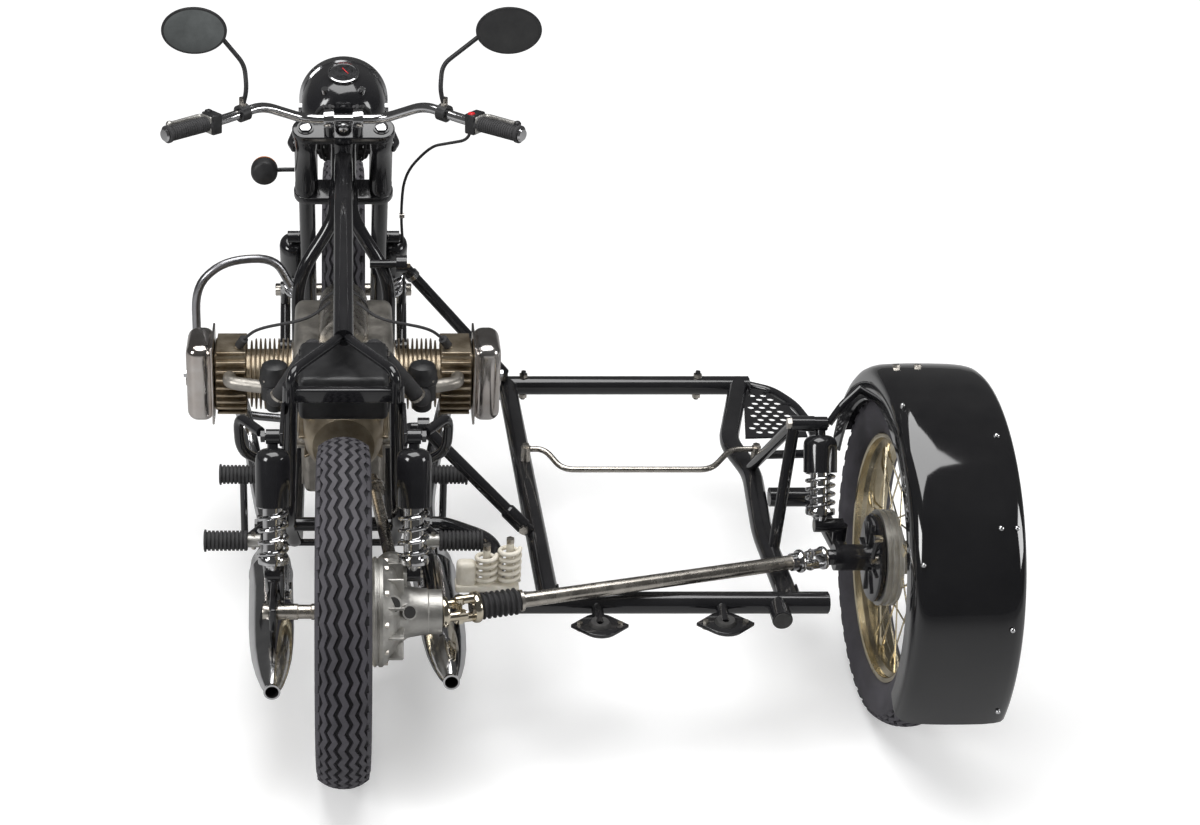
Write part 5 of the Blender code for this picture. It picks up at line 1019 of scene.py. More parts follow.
LEG_X = 0.085
LEG_RADIUS = 0.019
SHROUD_RADIUS = 0.027
CROWN = 0.022
CROWN_TOP = HEAD_HIGH + 0.005 + CROWN
CROWN_LOW = HEAD_LOW - 0.005 - CROWN
yoke = arc((LEG_X, 0), 0.03, 90, -90, 16) + arc((-LEG_X, 0), 0.03, -90, -270, 16)
for up in (CROWN_TOP - CROWN, CROWN_LOW):
    turn = Matrix.Translation(on_head(0, 0, up)) @ Matrix.Rotation(RAKE, 4, "X")
    add(plate(yoke, CROWN, turn, 0.003))
add(bar(on_head(0, 0, CROWN_LOW + 0.004), on_head(0, 0, CROWN_TOP), 0.015, 40), STEEL)
knob = [
    (0, 0), (0.015, 0), (0.016, 0.004), (0.019, 0.006), (0.019, 0.015), (0.016, 0.02), (0.008, 0.0245),
    (0, 0.025),
]
add(turned(knob, on_head(0, 0, CROWN_TOP), UP_HEAD, 40), CHROME)
bar_middle = spot((0, 0.6376, 1.12))
for side, s in SIDES:
    x = s * LEG_X
    leg = [on_head(x, 0, CROWN_TOP + 0.003), on_head(x, 0, -0.6407), on_head(x, *LINK_PIVOT)]
    add(tube(leg, LEG_RADIUS, LEG_RADIUS))
    cap = [(0, 0), (0.015, 0), (0.015, 0.006), (0.01, 0.008), (0, 0.008)]
    add(turned(cap, on_head(x, 0, CROWN_TOP + 0.002), UP_HEAD, 6), CHROME)
    cover = [
        (0, 0), (SHROUD_RADIUS, 0), (SHROUD_RADIUS, 0.022), (0.0262, 0.024), (0.0262, 0.15),
        (SHROUD_RADIUS, 0.152), (SHROUD_RADIUS, 0.19), (0, 0.19),
    ]
    add(turned(cover, on_head(x, 0, CROWN_TOP - CROWN - 0.19), UP_HEAD, 48))
    near, outer = x - s * 0.0075, s * (FRONT_SHOCK_X + EYE_HALF)
    add(bar(on_head(near, *LINK_PIVOT), on_head(outer, *LINK_PIVOT), LEG_RADIUS, 40))
    add(bar(on_head(x, 0, -0.375), on_head(x, *FRONT_SHOCK_TOP), 0.013))
    inner = s * (FRONT_SHOCK_X - EYE_HALF - GAP)
    add(bar(on_head(x - s * 0.0145, *FRONT_SHOCK_TOP), on_head(inner, *FRONT_SHOCK_TOP), 0.0145, 32))
    add(bar(on_head(x, *FRONT_SHOCK_TOP), on_head(outer, *FRONT_SHOCK_TOP), 0.0075), STEEL)
    riser = bar_middle + RIGHT * s * 0.032
    foot = on_head(s * 0.032, -0.015, CROWN_TOP - 0.004)
    add(bar(foot, riser, 0.0121, 28))
    clamp = [
        (0.0116, -0.011), (0.0205, -0.011), (0.0209, -0.009), (0.0209, 0.009), (0.0205, 0.011),
        (0.0116, 0.011),
    ]
    add(turned(clamp, riser, RIGHT, 40), CHROME)
done("fork_legs_and_crowns", "steering", "black_enamel", "fork")

LINK_MIDDLE = FRONT_SHOCK_X + EYE_HALF + GAP + 0.013
HUB_EDGE = 0.0456
AXLE_END = LINK_MIDDLE + 0.026
spindle = [
    (0, -AXLE_END), (0.015, -AXLE_END), (0.016, -AXLE_END + 0.002), (0.016, -HUB_EDGE), (0.01, -HUB_EDGE),
    (0.01, HUB_EDGE), (0.016, HUB_EDGE), (0.016, AXLE_END - 0.002), (0.015, AXLE_END), (0, AXLE_END),
]
add(turned(spindle, FRONT_AXLE, RIGHT, 40), STEEL)
gap = FRONT_AXLE - HEAD_POINT
axle_ahead, axle_up = gap.dot(ACROSS), gap.dot(UP_HEAD)
for side, s in SIDES:
    x = s * LINK_MIDDLE
    pivot, end = on_head(x, *LINK_PIVOT), on_head(x, axle_ahead, axle_up)
    add(bar(pivot, end, 0.013, 28))
    for centre in (pivot, end):
        add(across(centre, -0.013, 0.013, 0.0208, 40))
        add(across(centre, s * 0.013, s * 0.019, 0.012, 6), STEEL)
    ahead, up = FRONT_SHOCK_FOOT
    share = (ahead - LINK_PIVOT[0]) / (axle_ahead - LINK_PIVOT[0])
    base = on_head(x, ahead, LINK_PIVOT[1] + (axle_up - LINK_PIVOT[1]) * share)
    add(bar(base, on_head(x, ahead, up + 0.0075), 0.0117))
    add(bar(on_head(x, ahead, up), on_head(s * (FRONT_SHOCK_X - EYE_HALF), ahead, up), 0.0075), STEEL)
done("leading_links", "steering", "black_enamel", "front_links")


# Controls: a plated bar bent from one tube, ribbed rubber grips, switch boxes with a red button on the
# right, cast levers whose ends are balls, and the front brake's cable. The mirrors stand on thin bent stems.

BAR_SHARES = (
    # right half of the handlebar, from its straight middle outward
    (0.075, 0.6376, 1.12), (0.156, 0.604, 1.1744), (0.2208, 0.5638, 1.1667),
)
BAR_END_SHARES = (0.324, 0.493, 1.1722)
BRAKE_CABLE = (
    # from the right lever down to the links: sideways, ahead of the steering axis, along it
    (0.2, 0.06, -0.06), (0.142, 0.062, -0.16), (0.137, 0.05, -0.3), (0.15, 0.052, -0.48),
    (0.152, 0.046, -0.64), (0.149, 0.022, -0.716),
)
RED = finish("red_button", (0.42, 0.01, 0.014), (0.6, 0.02, 0.025), (0.28, 0.4), scale=60)
bar_path = [spot(BAR_END_SHARES, -1), *reversed(spots(BAR_SHARES, -1)), *spots(BAR_SHARES, 1),
            spot(BAR_END_SHARES, 1)]
add(tube(bar_path, 0.011, 0.03), CHROME)
done("plated_handlebar", "steering", "chrome", "handlebar")
for side, s in SIDES:
    start, end = spot(BAR_SHARES[-1], s), spot(BAR_END_SHARES, s)
    way = (end - start).normalized()
    outline = [(0.0116, 0), (0.0198, 0), (0.0198, 0.004), (0.0165, 0.007)]
    for i in range(16):
        along = 0.01 + 0.0058 * i
        outline += [
            (0.0168, along), (0.0168, along + 0.0032), (0.0156, along + 0.0038), (0.0156, along + 0.0052),
        ]
    outline += [(0.0188, 0.106), (0.019, 0.112), (0.0116, 0.114)]
    base = end - way * 0.106
    add(turned(outline, base, way, 40), RUBBER)
    plug = [(0, 0), (0.014, 0), (0.015, 0.002), (0.012, 0.006), (0, 0.007)]
    add(turned(plug, base + way * 0.114, way, 32), CHROME)
    box_at = base - way * 0.01
    turn = standing(box_at, way)
    for offset, size, look in (
        ((0, 0, 0), (0.04, 0.044, 0.026), PLASTIC), ((0, 0, 0.015), (0.034, 0.038, 0.004), ALLOY),
        ((-0.012, 0.016, 0), (0.012, 0.02, 0.014), RED if s > 0 else PLASTIC),
    ):
        block = box((0, 0, 0), size, 0.003)
        block.matrix_world = turn @ Matrix.Translation(offset)
        add(block, look)
    perch = box_at + AHEAD * 0.016
    knee = perch + Vector((s * 0.028, 0.036, -0.0044))
    tip = end + Vector((s * 0.004, 0.068, -0.0044))
    add(tube([perch, knee, tip], 0.0056, 0.012), ALLOY)
    bpy.ops.object.select_all(action="DESELECT")
    bpy.ops.mesh.primitive_uv_sphere_add(segments=24, ring_count=12, radius=0.0082, location=tip)
    add(bpy.context.object, ALLOY if s < 0 else PLASTIC)
    done("grip_and_lever_" + side, "steering", "black_rubber", "grip_" + side)
    if s > 0:
        nipple = perch + Vector((-0.006, 0.004, 0))
        route = [nipple - UP * 0.004, perch + Vector((-0.01, 0.012, -0.05)),
                 *(on_head(*row) for row in BRAKE_CABLE)]
        add(tube(route, 0.0034, 0.07, 8), RUBBER)
        add(bar(nipple, nipple + Vector((0, -0.001, -0.022)), 0.0052, 16), STEEL)
        add(across(on_head(0.146, 0.05, -0.3), -0.012, 0, 0.0062, 20), STEEL)
        done("front_brake_cable", "steering", "black_rubber")

MIRROR_GLASS = finish("mirror_glass", (0.14, 0.15, 0.15), (0.3, 0.32, 0.32), (0.03, 0.1), 1.0, scale=14,
                      bump=0.0)
# The right mirror's glass is a dull near-black surface instead of a mirror: a painted dark reflection.
MIRROR_PAINTED_DARK_REFLECTION = finish("mirror_glass_painted_dark_reflection", (0.012, 0.012, 0.013), (0.03, 0.03, 0.03), (0.04, 0.1), scale=14,
                    bump=0.0)
MIRROR_STEM_SHARES = ((0.183, 0.5772, 1.23), (0.187, 0.5906, 1.285))
MIRROR_OUTLINE = (
    (0, 0.002), (0.915, 0.002), (0.925, 0), (0.985, 0), (1.0, 0.08), (1.0, 0.2), (0.95, 0.46), (0.84, 0.7),
    (0.62, 0.88), (0.3, 0.98), (0, 1.0),
)
for (side, s), x in zip(SIDES, (0.2792, 0.3092)):
    start, back = spot(BAR_SHARES[-1], s), spot(BAR_SHARES[1], s)
    clamp = back.lerp(start, 0.55)
    way = (start - back).normalized()
    head = spot((x, 0.5772, 1.375), s)
    root = head + Vector((-s * 0.042, 0.016, 0))
    stem = [clamp + UP * 0.0143, *spots(MIRROR_STEM_SHARES, s), root]
    add(tube(stem, 0.005, 0.02), PLASTIC)
    add(hollow(clamp, way, 0.0116, 0.0187, -0.011, 0.011, 36), PLASTIC)
    add(bar(clamp + UP * 0.014, clamp + UP * 0.034, 0.0085, 6), STEEL)
    # Right glass: painted dark reflection; left glass: a metallic mirror.
    shell = parted(turned(MIRROR_OUTLINE, (0, 0, 0), UP, 72), PLASTIC, MIRROR_PAINTED_DARK_REFLECTION if s > 0 else MIRROR_GLASS,
                   lambda at: at.z < 0.0025 and math.hypot(at.x, at.y) < 0.915)
    face_back = Matrix.Translation(head) @ Matrix.Rotation(math.radians(-90), 4, "X")
    shell.matrix_world = face_back @ Matrix.Diagonal((0.07, 0.0511, 0.032, 1))
    pieces.append(shell)
    done("oval_mirror_" + side, "steering", "black_plastic", "mirror_" + side)


# Lamps: a deep enamelled headlamp shell with a plated rim, a meter let into its top and two ears to the
# fork covers; fluted glass; and one small round turn lamp with an amber lens on the left.

DIAL = finish("dial_face", (0.006, 0.006, 0.006), (0.03, 0.03, 0.032), (0.15, 0.25), scale=80, coat=0.8)
back = spot((0, 0.745, 1.043))
front = back + AHEAD * 0.165
outline = [
    (0, 0), (0.025, 0.0006), (0.044, 0.003), (0.062, 0.0095), (0.0764, 0.0215), (0.087, 0.037),
    (0.0931, 0.054), (0.0966, 0.074), (0.098, 0.098), (0.098, 0.15), (0.096, 0.151), (0, 0.151),
]
add(turned(outline, back, AHEAD, 80))
rim = [(0.097, 0.15), (0.1039, 0.152), (0.1039, 0.16), (0.101, 0.1645), (0.0931, 0.165), (0.0925, 0.156)]
add(turned(rim, back, AHEAD, 80), CHROME)
meter = back + Vector((0, 0.0735, 0.0608))
top = meter + Vector((0, -0.0157, 0.0412))
length = (top - meter).length
case = [
    (0, 0), (0.034, 0), (0.034, length - 0.008), (0.036, length - 0.006), (0.036, length - 0.001),
    (0.033, length), (0.032, length - 0.003), (0, length - 0.003),
]
way = (top - meter).normalized()
pieces.append(parted(turned(case, meter, top - meter, 56), CHROME, DIAL,
                     lambda at: abs((at - meter).dot(way) - length + 0.003) < 0.0005))
needle = box((0, 0, 0), (0.0018, 0.024, 0.0008), 0)
turn = Matrix.Translation((0.004, 0.006, -0.0022)) @ Matrix.Rotation(0.6, 4, "Z")
needle.matrix_world = standing(top, top - meter) @ turn
add(needle, RED)
for side, s in SIDES:
    leg = on_head(s * (LEG_X + SHROUD_RADIUS), 0, 0)
    turn_at = on_head(s * LEG_X, 0, 0) + Vector((s * (SHROUD_RADIUS + STAY_TUBE), 0.0392, 0))
    seat = back + Vector((s * 0.0882, 0.098, 0))
    add(tube([leg, turn_at, seat], 0.007, 0.01))
    add(across(seat, s * 0.004, s * 0.016, 0.011, 6), CHROME)
    knob_at = back + Vector((s * 0.04, 0.03, 0.052))
    add(bar(knob_at, knob_at + Vector((s * 0.003, -0.008, 0.022)), 0.008, 24), CHROME)
done("headlamp_shell", "steering", "black_enamel", "headlamp")

LENS = finish("fluted_glass", (0.74, 0.76, 0.77), (0.86, 0.88, 0.88), (0.02, 0.1), scale=20, bump=0.05,
              coat=0.5)
AMBER = finish("amber_lens", (0.55, 0.14, 0.02), (0.75, 0.24, 0.04), (0.1, 0.2), scale=30, coat=0.5)
LENS_RADIUS, FLUTES = 0.0912, 18
outline = [(0, 0), (LENS_RADIUS, 0)]
for i in range(FLUTES):
    share = i / (FLUTES - 1)
    bulge = 0.014 + 0.0135 * math.sin(share * math.pi / 2) - 0.0006 * (i % 2)
    outline.append((LENS_RADIUS * (1 - share) + 0.0001, bulge))
outline.append((0, 0.0275))
add(turned(outline, front - AHEAD * 0.0136, AHEAD, 72), LENS)
done("fluted_headlamp_glass", "steering", "lamp_glass", "headlamp_glass")

centre = spot((0.16, 0.72, 0.93), -1)
shell = [
    (0, -0.0248), (0.02, -0.0246), (0.0265, -0.021), (0.0305, -0.012), (0.031, 0.004), (0.031, 0.006),
    (0, 0.006),
]
add(turned(shell, centre, AHEAD, 48), PLASTIC)
lens = [(0, 0.0062), (0.0304, 0.0062), (0.0304, 0.012), (0.027, 0.02), (0.018, 0.0262), (0, 0.0279)]
add(turned(lens, centre, AHEAD, 48), AMBER)
leg = on_head(-LEG_X, 0, (centre.z - HEAD_Z) / math.cos(RAKE))
knee = Vector((centre.x + 0.0434, leg.y, leg.z))
near = leg - RIGHT * SHROUD_RADIUS
add(tube([near, knee, centre], 0.005, 0.008), PLASTIC)
done("turn_lamp_left", "steering", "black_plastic", "indicator_left")


# Wiring: cables in rubber sleeves that come down from the bar in front of the steering head
# and go back into the lamp's shell. They turn with the fork and are tied together above the lower crown.

WIRES = (
    # sideways from the steering axis, ahead of it, radius
    (0.034, 0.052, 0.0042), (0.043, 0.06, 0.0056), (0.054, 0.054, 0.0036), (0.063, 0.062, 0.0048),
)
for x, ahead, radius in WIRES:
    for s in (-1, 1):
        add(tube([
            on_head(s * x * 0.7, 0.075, 0.06), on_head(s * x, ahead + 0.022, 0.03),
            on_head(s * (x - 0.004), ahead, -0.06), on_head(s * x * 0.8, ahead + 0.008, -0.118),
            on_head(s * x * 0.6, ahead + 0.04, -0.128),
        ], radius, 0.03, 6), RUBBER)
for s in (-1, 1):
    add(box(on_head(s * 0.046, 0.062, -0.078), (0.044, 0.016, 0.012), 0.003), PLASTIC)
done("steering_wiring", "steering", "black_rubber")


# Sidecar frame: straight cross tubes and two long rails, the right one cranked beside the step, all
# welded and enamelled. Bolts stand through the front tube, plugs close the ends, and two lozenge plates
# with rubber pads wait for the body.

CHASSIS_TUBE = 0.0225
DECK_Z_SHARE = 0.328
FRONT_TUBE_SHARES = ((0.32, 0.7034, DECK_Z_SHARE), (0.857, 0.7034, DECK_Z_SHARE))
RIGHT_RAIL_SHARES = (
    (0.837, 0.7034, DECK_Z_SHARE), (0.7756, 0.5148, DECK_Z_SHARE), (0.803, 0.4221, DECK_Z_SHARE),
    (0.7845, 0.251, DECK_Z_SHARE), (0.7925, 0.07, DECK_Z_SHARE),
)
REAR_TUBE_SHARES = ((0.23, 0.07, DECK_Z_SHARE), (0.86, 0.07, DECK_Z_SHARE))
MOUNT_SHARES = ((0.4487, 0.0195, 0.317), (0.6696, 0.024, 0.317))
REAR_LINK_SHARES = (
    (0.278, 0.078, DECK_Z_SHARE), (0.278, 0.22, 0.335), (0.19, 0.2685, 0.3333), (0.166, 0.2685, 0.3333),
)
DECK = DECK_Z_SHARE * HEAD_Z


def capped(path):
    """A chassis tube with a slightly smaller plug in each end."""
    add(tube(path, CHASSIS_TUBE, 2 * CHASSIS_TUBE, 8))
    for end, other in ((path[0], path[1]), (path[-1], path[-2])):
        way = (end - other).normalized()
        add(bar(end - way * 0.004, end + way * 0.002, CHASSIS_TUBE * 0.86, 32))


front, rear = spots(FRONT_TUBE_SHARES), spots(REAR_TUBE_SHARES)
capped(front)
for x in (0.431, 0.848):
    bolt = rig(x, front[0].y - GROUND.y, DECK)
    add(bar(bolt - UP * 0.036, bolt + UP * 0.038, 0.0058, 16))
    add(bar(bolt + UP * 0.0225, bolt + UP * 0.0305, 0.0105, 6), STEEL)
    add(bar(bolt - UP * 0.031, bolt - UP * 0.022, 0.0105, 6), STEEL)
done("front_cross_tube", "chassis", "black_enamel", "sidecar_front_tube")
left_rail = [spot((0.3463, 0.7034, DECK_Z_SHARE)), spot((0.3657, 0.07, DECK_Z_SHARE))]
for name, path in (("sidecar_left_rail", left_rail), ("sidecar_right_rail", spots(RIGHT_RAIL_SHARES))):
    add(tube(path, CHASSIS_TUBE, 2 * CHASSIS_TUBE, 8))
    for end in (path[0], path[-1]):
        for turn in (-1, 1):
            gusset = end + Vector((turn * 0.02, -0.03 if end == path[0] else 0.03, 0))
            add(box(gusset, (0.004, 0.034, 0.03), 0.0015))
    done(name + "_tube", "chassis", "black_enamel", name)

PAD = finish("mount_rubber", (0.02, 0.02, 0.02), (0.06, 0.058, 0.056), (0.6, 0.8), scale=50, bump=0.2)
capped(rear)
plug = spot((0.77, 0.027, DECK_Z_SHARE))
add(bar((plug.x, rear[0].y, plug.z), plug, 0.0203, 40))
add(bar(plug, plug - AHEAD * 0.003, 0.017, 40), PAD)
outline = [(-0.058, 0), *arc((0, 0), 0.039, 225, 315, 10), (0.058, 0), *arc((0, 0), 0.039, 45, 135, 10)]
for shares in MOUNT_SHARES:
    centre = spot(shares)
    add(plate(outline, 0.008, Matrix.Translation(centre), 0.0015))
    base = centre + UP * 0.004
    add(bar(base, (centre.x, rear[0].y - 0.011, DECK), 0.012, 24))
    pad = [(0.006, 0.004), (0.0215, 0.004), (0.0215, 0.009), (0.018, 0.0155), (0.012, 0.0159), (0.006, 0.013)]
    add(turned(pad, centre, UP, 40), PAD)
    for x in (-0.04, 0.04):
        stud = centre + Vector((x, 0, 0.008))
        add(bar(stud - UP * 0.014, stud + UP * 0.005, 0.006, 6), STEEL)
add(tube(spots(REAR_LINK_SHARES), 0.0169, 0.045))
done("rear_cross_tube", "chassis", "black_enamel", "sidecar_rear_tube")

IVORY = finish("ivory_casting", (0.66, 0.61, 0.5), (0.88, 0.84, 0.75), (0.35, 0.55), scale=26, bump=0.25)
add(box(rig(0.288, 0.121, 0.326), (0.128, 0.036, 0.016), 0.004), IVORY)
add(box(rig(0.246, 0.121, 0.356), (0.04, 0.03, 0.056), 0.01), IVORY)
for x, turns in ((0.286, 4), (0.332, 5)):
    foot = rig(x, 0.121, 0.329)
    add(coil(Matrix.Translation(foot), 0.02, 0.0046, 0.008, 0.0155 * turns, turns, 20), IVORY)
    top = foot + UP * (0.0155 * turns + 0.02)
    add(bar(foot, top, 0.0075, 24), IVORY)
    add(bar(top, top + UP * 0.01, 0.0085, 6), STEEL)
done("ivory_spring_bracket", "chassis", "cast_alloy")


# Step and rod: a quarter-round plate punched with staggered holes, lying in a bent edge tube; and the
# bright cranked rod that crosses the deck between two posts.

STEP_SHARES = (
    # outline of the perforated plate, shares of track and wheelbase
    (0.845, 0.693), (0.89, 0.675), (0.922, 0.635), (0.94, 0.585), (0.94, 0.53), (0.813, 0.525),
)
STEP_BAR_SHARES = (
    (0.86, 0.7034), (0.905, 0.685), (0.94, 0.635), (0.956, 0.57), (0.952, 0.48), (0.825, 0.475),
)
outline = [(x * TRACK, y * WHEELBASE) for x, y in STEP_SHARES]
deck = plate(outline, 0.004, Matrix.Translation((GROUND.x, GROUND.y, DECK)))
pitch, rise = 0.0262, 0.02
punches = []
for row in range(16):
    for column in range(10):
        x = 0.905 + column * pitch + (pitch / 2 if row % 2 else 0)
        y = 0.77 + row * rise
        away = []
        for a, b in zip(outline, outline[1:] + outline[:1]):
            away.append(((b[0] - a[0]) * (y - a[1]) - (b[1] - a[1]) * (x - a[0])) / math.dist(a, b))
        if min(away) > 0.012 or max(away) < -0.012:
            punches.append(bar(rig(x, y, DECK - 0.01), rig(x, y, DECK + 0.02), 0.0084, 12))
punch = joined(punches)
applied(deck, "BOOLEAN", operation="DIFFERENCE", object=punch, solver="EXACT")
bpy.data.objects.remove(punch)
add(deck)
edge = [rig(x * TRACK, y * WHEELBASE, DECK) for x, y in STEP_BAR_SHARES]
add(tube(edge, STAY_TUBE, 0.03))
for i in (1, 2, 3):
    corner = rig(*outline[i], DECK + 0.002)
    add(bar(corner + (corner - edge[i]).normalized() * 0.01, edge[i], 0.005, 16))
done("punched_step", "chassis", "black_enamel", "sidecar_step")
ROD_SHARES = (
    # bright cranked rod between the two rails
    (0.358, 0.4322, 0.385), (0.395, 0.4322, 0.385), (0.425, 0.39, 0.3667), (0.715, 0.39, 0.3667),
    (0.76, 0.4322, 0.385), (0.81, 0.4322, 0.385),
)
path = spots(ROD_SHARES)
add(tube(path, 0.0065, 0.026), STEEL)
for end in (path[0], path[-1]):
    foot = Vector((end.x, end.y, DECK + CHASSIS_TUBE + GAP))
    add(bar(foot, end + UP * 0.0065, 0.0104, 24), STEEL)
    add(bar(end + UP * 0.0065, end + UP * 0.0125, 0.008, 6), STEEL)
done("bright_cross_rod", "chassis", "bright_steel", "sidecar_cross_rod")


# Sidecar wheel's mounting: a trailing arm on the right rail with the stub axle and the ribbed brake plate,
# the braced tower that holds its suspension unit, and a small brake lever with a bright end.

ARM_X = -0.11
middle = THIRD_AXLE.x + ARM_X
base = Vector((middle, GROUND.y + 0.35 * WHEELBASE, DECK))
end = THIRD_AXLE + RIGHT * ARM_X
add(tube([base, end], 0.018, extra=8))
rail_x = spot(RIGHT_RAIL_SHARES[2]).x
add(bar((rail_x + 0.02, base.y, DECK), base + RIGHT * 0.03, 0.021, 40))
add(bar(base + RIGHT * 0.03, base + RIGHT * 0.038, 0.013, 6), STEEL)
boss = ARM_X - 0.0225
outline = [
    (0, boss - 0.013), (0.015, boss - 0.013), (0.016, boss - 0.011), (0.016, boss), (0.027, boss),
    (0.027, -0.05), (0.023, -HUB_EDGE), (0.01, -HUB_EDGE), (0.01, HUB_EDGE), (0.016, HUB_EDGE),
    (0.016, HUB_EDGE + 0.011), (0.0145, HUB_EDGE + 0.013), (0, HUB_EDGE + 0.013),
]
add(turned(outline, THIRD_AXLE, RIGHT, 56))
disc = [
    (0.02, -0.0596), (0.082, -0.0596), (0.087, -0.0585), (0.09, -0.0555), (0.09, -0.0476), (0.02, -0.0476),
]
add(turned(disc, THIRD_AXLE, RIGHT, 96))
for i in range(8):
    angle = math.tau * i / 8
    place = THIRD_AXLE + round_axle(-0.0615, 0.052, angle)
    add(box(place, (0.006, 0.048, 0.005), 0.0015, turn=Matrix.Rotation(angle, 4, "X")))
cam = THIRD_AXLE + Vector((-0.0596, -0.058, 0.03))
lever = cam + Vector((-0.01, -0.02, 0.062))
add(across(cam, -0.014, 0.004, 0.009, 24), STEEL)
add(bar(cam - RIGHT * 0.01, lever, 0.0052, 16))
add(across(lever, -0.008, 0.008, 0.0075, 20), CHROME)
reach = middle - side_foot.x
add(across(side_foot, -EYE_HALF, reach, 0.0074), STEEL)
add(across(side_foot, EYE_HALF + GAP, reach + 0.004, 0.0145, 32))
add(bar((middle, side_foot.y, side_foot.z), (middle, side_foot.y, AXLE_Z - 0.015), 0.0145, 32))
done("trailing_arm_and_brake_plate", "chassis", "black_enamel", "sidecar_arm")

out = COVER_RADIUS + ARM_TUBE + 0.004
post = side_top - RIGHT * out
add(across(side_top, -out - 0.0075, -EYE_HALF - GAP, 0.016, 40))
add(across(side_top, -EYE_HALF - 0.004, EYE_HALF + 0.004, 0.0074), STEEL)
add(across(side_top, -out - 0.0155, -out - 0.0075, 0.012, 6), STEEL)
for shares in ((0.79, 0.19, DECK_Z_SHARE), (0.798, 0.43, DECK_Z_SHARE)):
    foot = spot(shares)
    way = (post - foot).normalized()
    add(bar(foot + way * 0.016, post, 0.012, 32))
done("suspension_tower", "chassis", "black_enamel", "sidecar_tower")


# Mudguard: one wide valanced sheet, rolled at its rims, with round-headed rivets, two bolts on the crown
# and a stay from the tower. It is sprayed deep gloss black, so the lamps stand on it as white shapes.

GLOSS = finish("gloss_black", (0.004, 0.004, 0.005), (0.009, 0.009, 0.01), (0.05, 0.1), scale=6, bump=0.008,
               coat=0.8, dust=0.02)
FENDER_RADIUS = 0.396
TYRE_WIDTH = 0.106
SHEET = 0.003
SECTION = (
    # place from the wheel's middle as a share of the tyre's width, share of the fender's radius
    (-0.6, 0.812), (-0.64, 0.82), (-0.65, 0.85), (-0.658, 0.9), (-0.655, 0.93), (-0.63, 0.954),
    (-0.56, 0.975), (-0.46, 0.987), (-0.35, 0.994), (-0.1, 0.998), (0.2, 1.0), (0.55, 0.9995), (0.9, 0.997),
    (1.12, 0.991), (1.24, 0.983), (1.31, 0.968), (1.338, 0.948), (1.35, 0.915), (1.356, 0.88), (1.358, 0.852),
    (1.325, 0.847),
)
outer = [(w * TYRE_WIDTH, r * FENDER_RADIUS) for w, r in SECTION]
inner = []
for i, (w, r) in enumerate(outer):
    a, b = outer[max(i - 1, 0)], outer[min(i + 1, len(outer) - 1)]
    way = Vector((b[0] - a[0], b[1] - a[1])).normalized()
    inner.append((w + way.y * SHEET, r - way.x * SHEET))
loop = outer + inner[::-1]
first, last = math.radians(13), math.radians(202)
bpy.ops.object.select_all(action="DESELECT")
bpy.ops.mesh.primitive_circle_add(vertices=len(loop))
sheet = bpy.context.object
for corner, (w, r) in zip(sheet.data.vertices, loop):
    corner.co = round_axle(w, r, first)
bpy.ops.object.mode_set(mode="EDIT")
bpy.ops.mesh.select_all(action="SELECT")
bpy.ops.mesh.spin(steps=84, angle=first - last, center=(0, 0, 0), axis=(1, 0, 0))
bpy.ops.mesh.select_all(action="DESELECT")
bpy.ops.mesh.select_mode(type="EDGE")
bpy.ops.mesh.select_non_manifold()
bpy.ops.mesh.fill_holes(sides=0)
bpy.ops.mesh.select_all(action="SELECT")
bpy.ops.mesh.normals_make_consistent(inside=False)
bpy.ops.mesh.select_mode(type="VERT")
bpy.ops.object.mode_set(mode="OBJECT")
sheet.location = THIRD_AXLE
add(sheet, GLOSS)
RIVETS = (
    # share of the tyre's width, angle round the wheel, head radius
    (1.02, 112, 0.0052), (0.86, 140, 0.0052), (1.14, 140, 0.0046), (1.08, 168, 0.005), (1.1, 196, 0.005),
    (-0.52, 100, 0.0046), (-0.52, 150, 0.0046),
)
for w, angle, radius in RIVETS:
    out = round_axle(0, 1, math.radians(angle))
    seat = THIRD_AXLE + RIGHT * w * TYRE_WIDTH + out * FENDER_RADIUS * 0.992
    head = [
        (0, -0.004), (radius, -0.004), (radius, 0.0028), (radius * 0.8, 0.0046), (radius * 0.4, 0.0056),
        (0, 0.0058),
    ]
    add(turned(head, seat, out, 20), CHROME)
BOLT_ANGLE = math.radians(74)
for w in (-0.25, 0.15):
    out = round_axle(0, 1, BOLT_ANGLE)
    seat = THIRD_AXLE + RIGHT * w * TYRE_WIDTH + out * FENDER_RADIUS * 0.996
    add(bar(seat - out * 0.004, seat + out * 0.006, 0.0075, 6), STEEL)
up = Vector((0, side_top.y - THIRD_AXLE.y, side_top.z - THIRD_AXLE.z)).normalized()
start = side_top + RIGHT * (EYE_HALF + 0.0044)
goal = THIRD_AXLE - RIGHT * (0.64 * TYRE_WIDTH - 0.001) + up * FENDER_RADIUS * 0.88
knee = start.lerp(goal, 0.4) + UP * STAY_TUBE
add(tube([start, knee, goal], 0.008, 0.01))
done("valanced_mudguard", "chassis", "black_enamel", "sidecar_fender", degrees=40)


# Sidecar drive: a plated universal joint beside the casting, a ribbed rubber boot, a bright tube and a
# second joint at the wheel. Each joint is two forks round a cross.

start = REAR_AXLE + RIGHT * 0.1924
end = THIRD_AXLE + RIGHT * (ARM_X - 0.0367)
way = (end - start).normalized()
GOLD_PLATE = finish("warm_chrome", (0.58, 0.5, 0.36), (0.84, 0.78, 0.66), (0.08, 0.2), 1.0, scale=18,
                    bump=0.03)


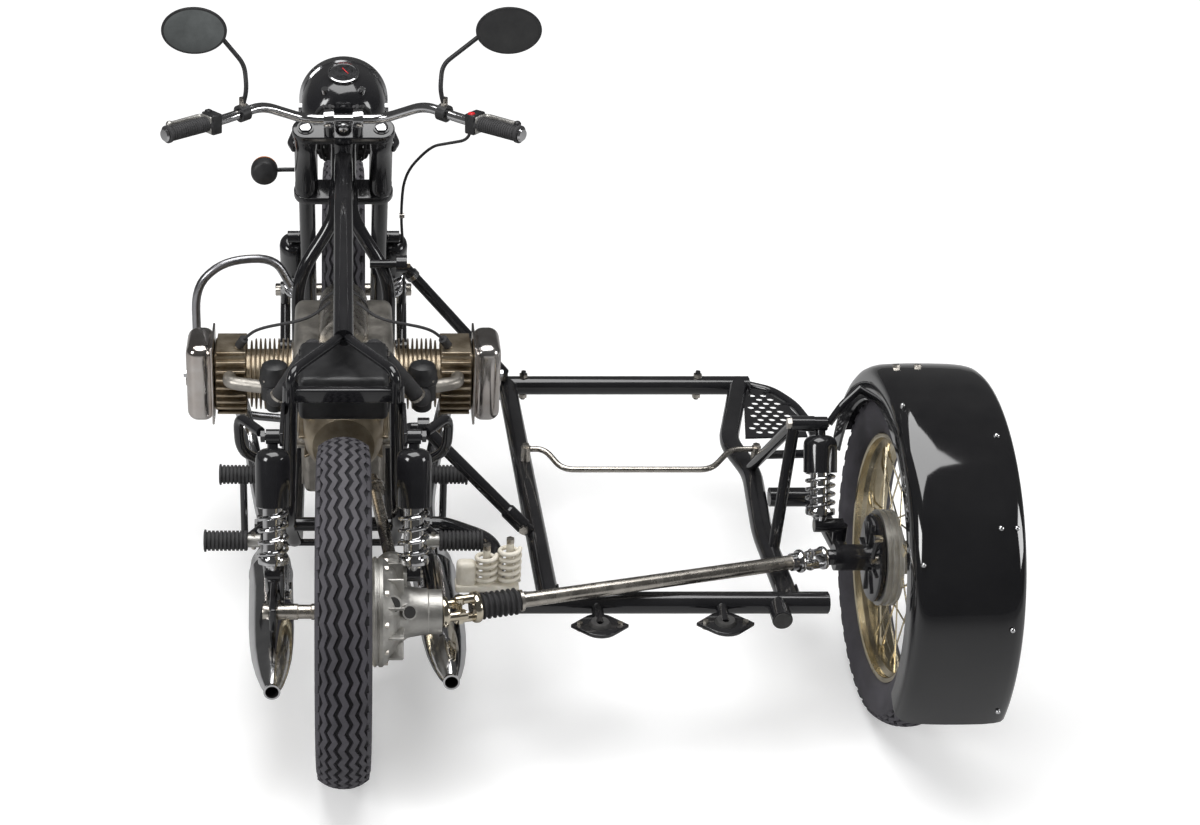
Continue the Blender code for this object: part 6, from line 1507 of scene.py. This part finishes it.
def universal_joint(at, look, size):
    """Two round flanges, a cross and four fork cheeks, along the shaft."""
    side = way.cross(UP).normalized()
    above = side.cross(way).normalized()
    for along, cheek in ((-1, side), (1, above)):
        flange = at + way * along * size * 0.95
        disc = [
            (0, -size * 0.2), (size * 0.84, -size * 0.2), (size * 0.9, -size * 0.1), (size * 0.9, size * 0.1),
            (size * 0.84, size * 0.2), (0, size * 0.2),
        ]
        add(turned(disc, flange, way, 40), look)
        for hand in (-1, 1):
            root = flange + cheek * hand * size * 0.62
            tip = at + cheek * hand * size * 0.62
            add(bar(root, tip - way * along * size * 0.25, size * 0.26, 20), look)
            add(bar(tip - cheek * hand * size * 0.2, tip + cheek * hand * size * 0.2, size * 0.3, 24), look)
        add(bar(at - cheek * size * 0.62, at + cheek * size * 0.62, size * 0.17, 20), look)


universal_joint(start + way * 0.036, GOLD_PLATE, 0.035)
add(bar(start + way * 0.001, start + way * 0.01, 0.024, 32), GOLD_PLATE)
outline = [(0.02, 0)]
for i in range(8):
    along = 0.002 + 0.0112 * i
    outline += [(0.0215, along), (0.0268, along + 0.0028), (0.027, along + 0.005), (0.0215, along + 0.009)]
outline += [(0.0185, 0.0925), (0.0185, 0.098), (0.015, 0.0985), (0.015, 0)]
boot = start + way * 0.066
add(turned(outline, boot, way, 48), RUBBER)
for along in (0.064, 0.16):
    clip = start + way * along
    add(hollow(clip, way, 0.018, 0.0215, 0, 0.006), STEEL)
add(bar(start + way * 0.06, end - way * 0.056, 0.015, 48), STEEL)
add(turned([(0.014, 0), (0.018, 0.001), (0.018, 0.015), (0.014, 0.016)], end - way * 0.08, way, 40), CHROME)
universal_joint(end - way * 0.034, CHROME, 0.0265)
add(bar(end - way * 0.012, end - way * 0.006, 0.016, 32), CHROME)
done("sidecar_drive_shaft", "chassis", "bright_steel", "sidecar_shaft")

for name, shares, (first, last), ring_at in (
    ("upper_strut", UPPER_STRUT_SHARES, front, 0.9), ("lower_strut", LOWER_STRUT_SHARES, left_rail, 0.1),
):
    top, foot = spots(shares)
    way = (top - foot).normalized()
    add(tube([foot, top], STRUT_RADIUS, extra=8))
    add(across(top, -0.0122, 0.0122, 0.0202, 40))
    add(across(top, 0.0122, 0.02, 0.011, 6), STEEL)
    line = (last - first).normalized()
    nearest = first + line * (foot - first).dot(line)
    near = foot + (nearest - foot).normalized() * max((nearest - foot).length - CHASSIS_TUBE - GAP, 0.002)
    add(bar(foot, near, STRUT_RADIUS, 32))
    socket = [(0.013, 0), (0.0169, 0.002), (0.0169, 0.05), (0.014, 0.054), (0.013, 0.054)]
    add(turned(socket, foot - way * 0.004, way, 40))
    add(hollow(foot.lerp(top, ring_at), way, 0.013, 0.0165, -0.006, 0.006), CHROME)
    side_bolt = foot - AHEAD * 0.012
    add(bar(side_bolt, side_bolt - AHEAD * 0.01, 0.01, 6), STEEL)
    done(name + "_tube", "chassis", "black_enamel", name)
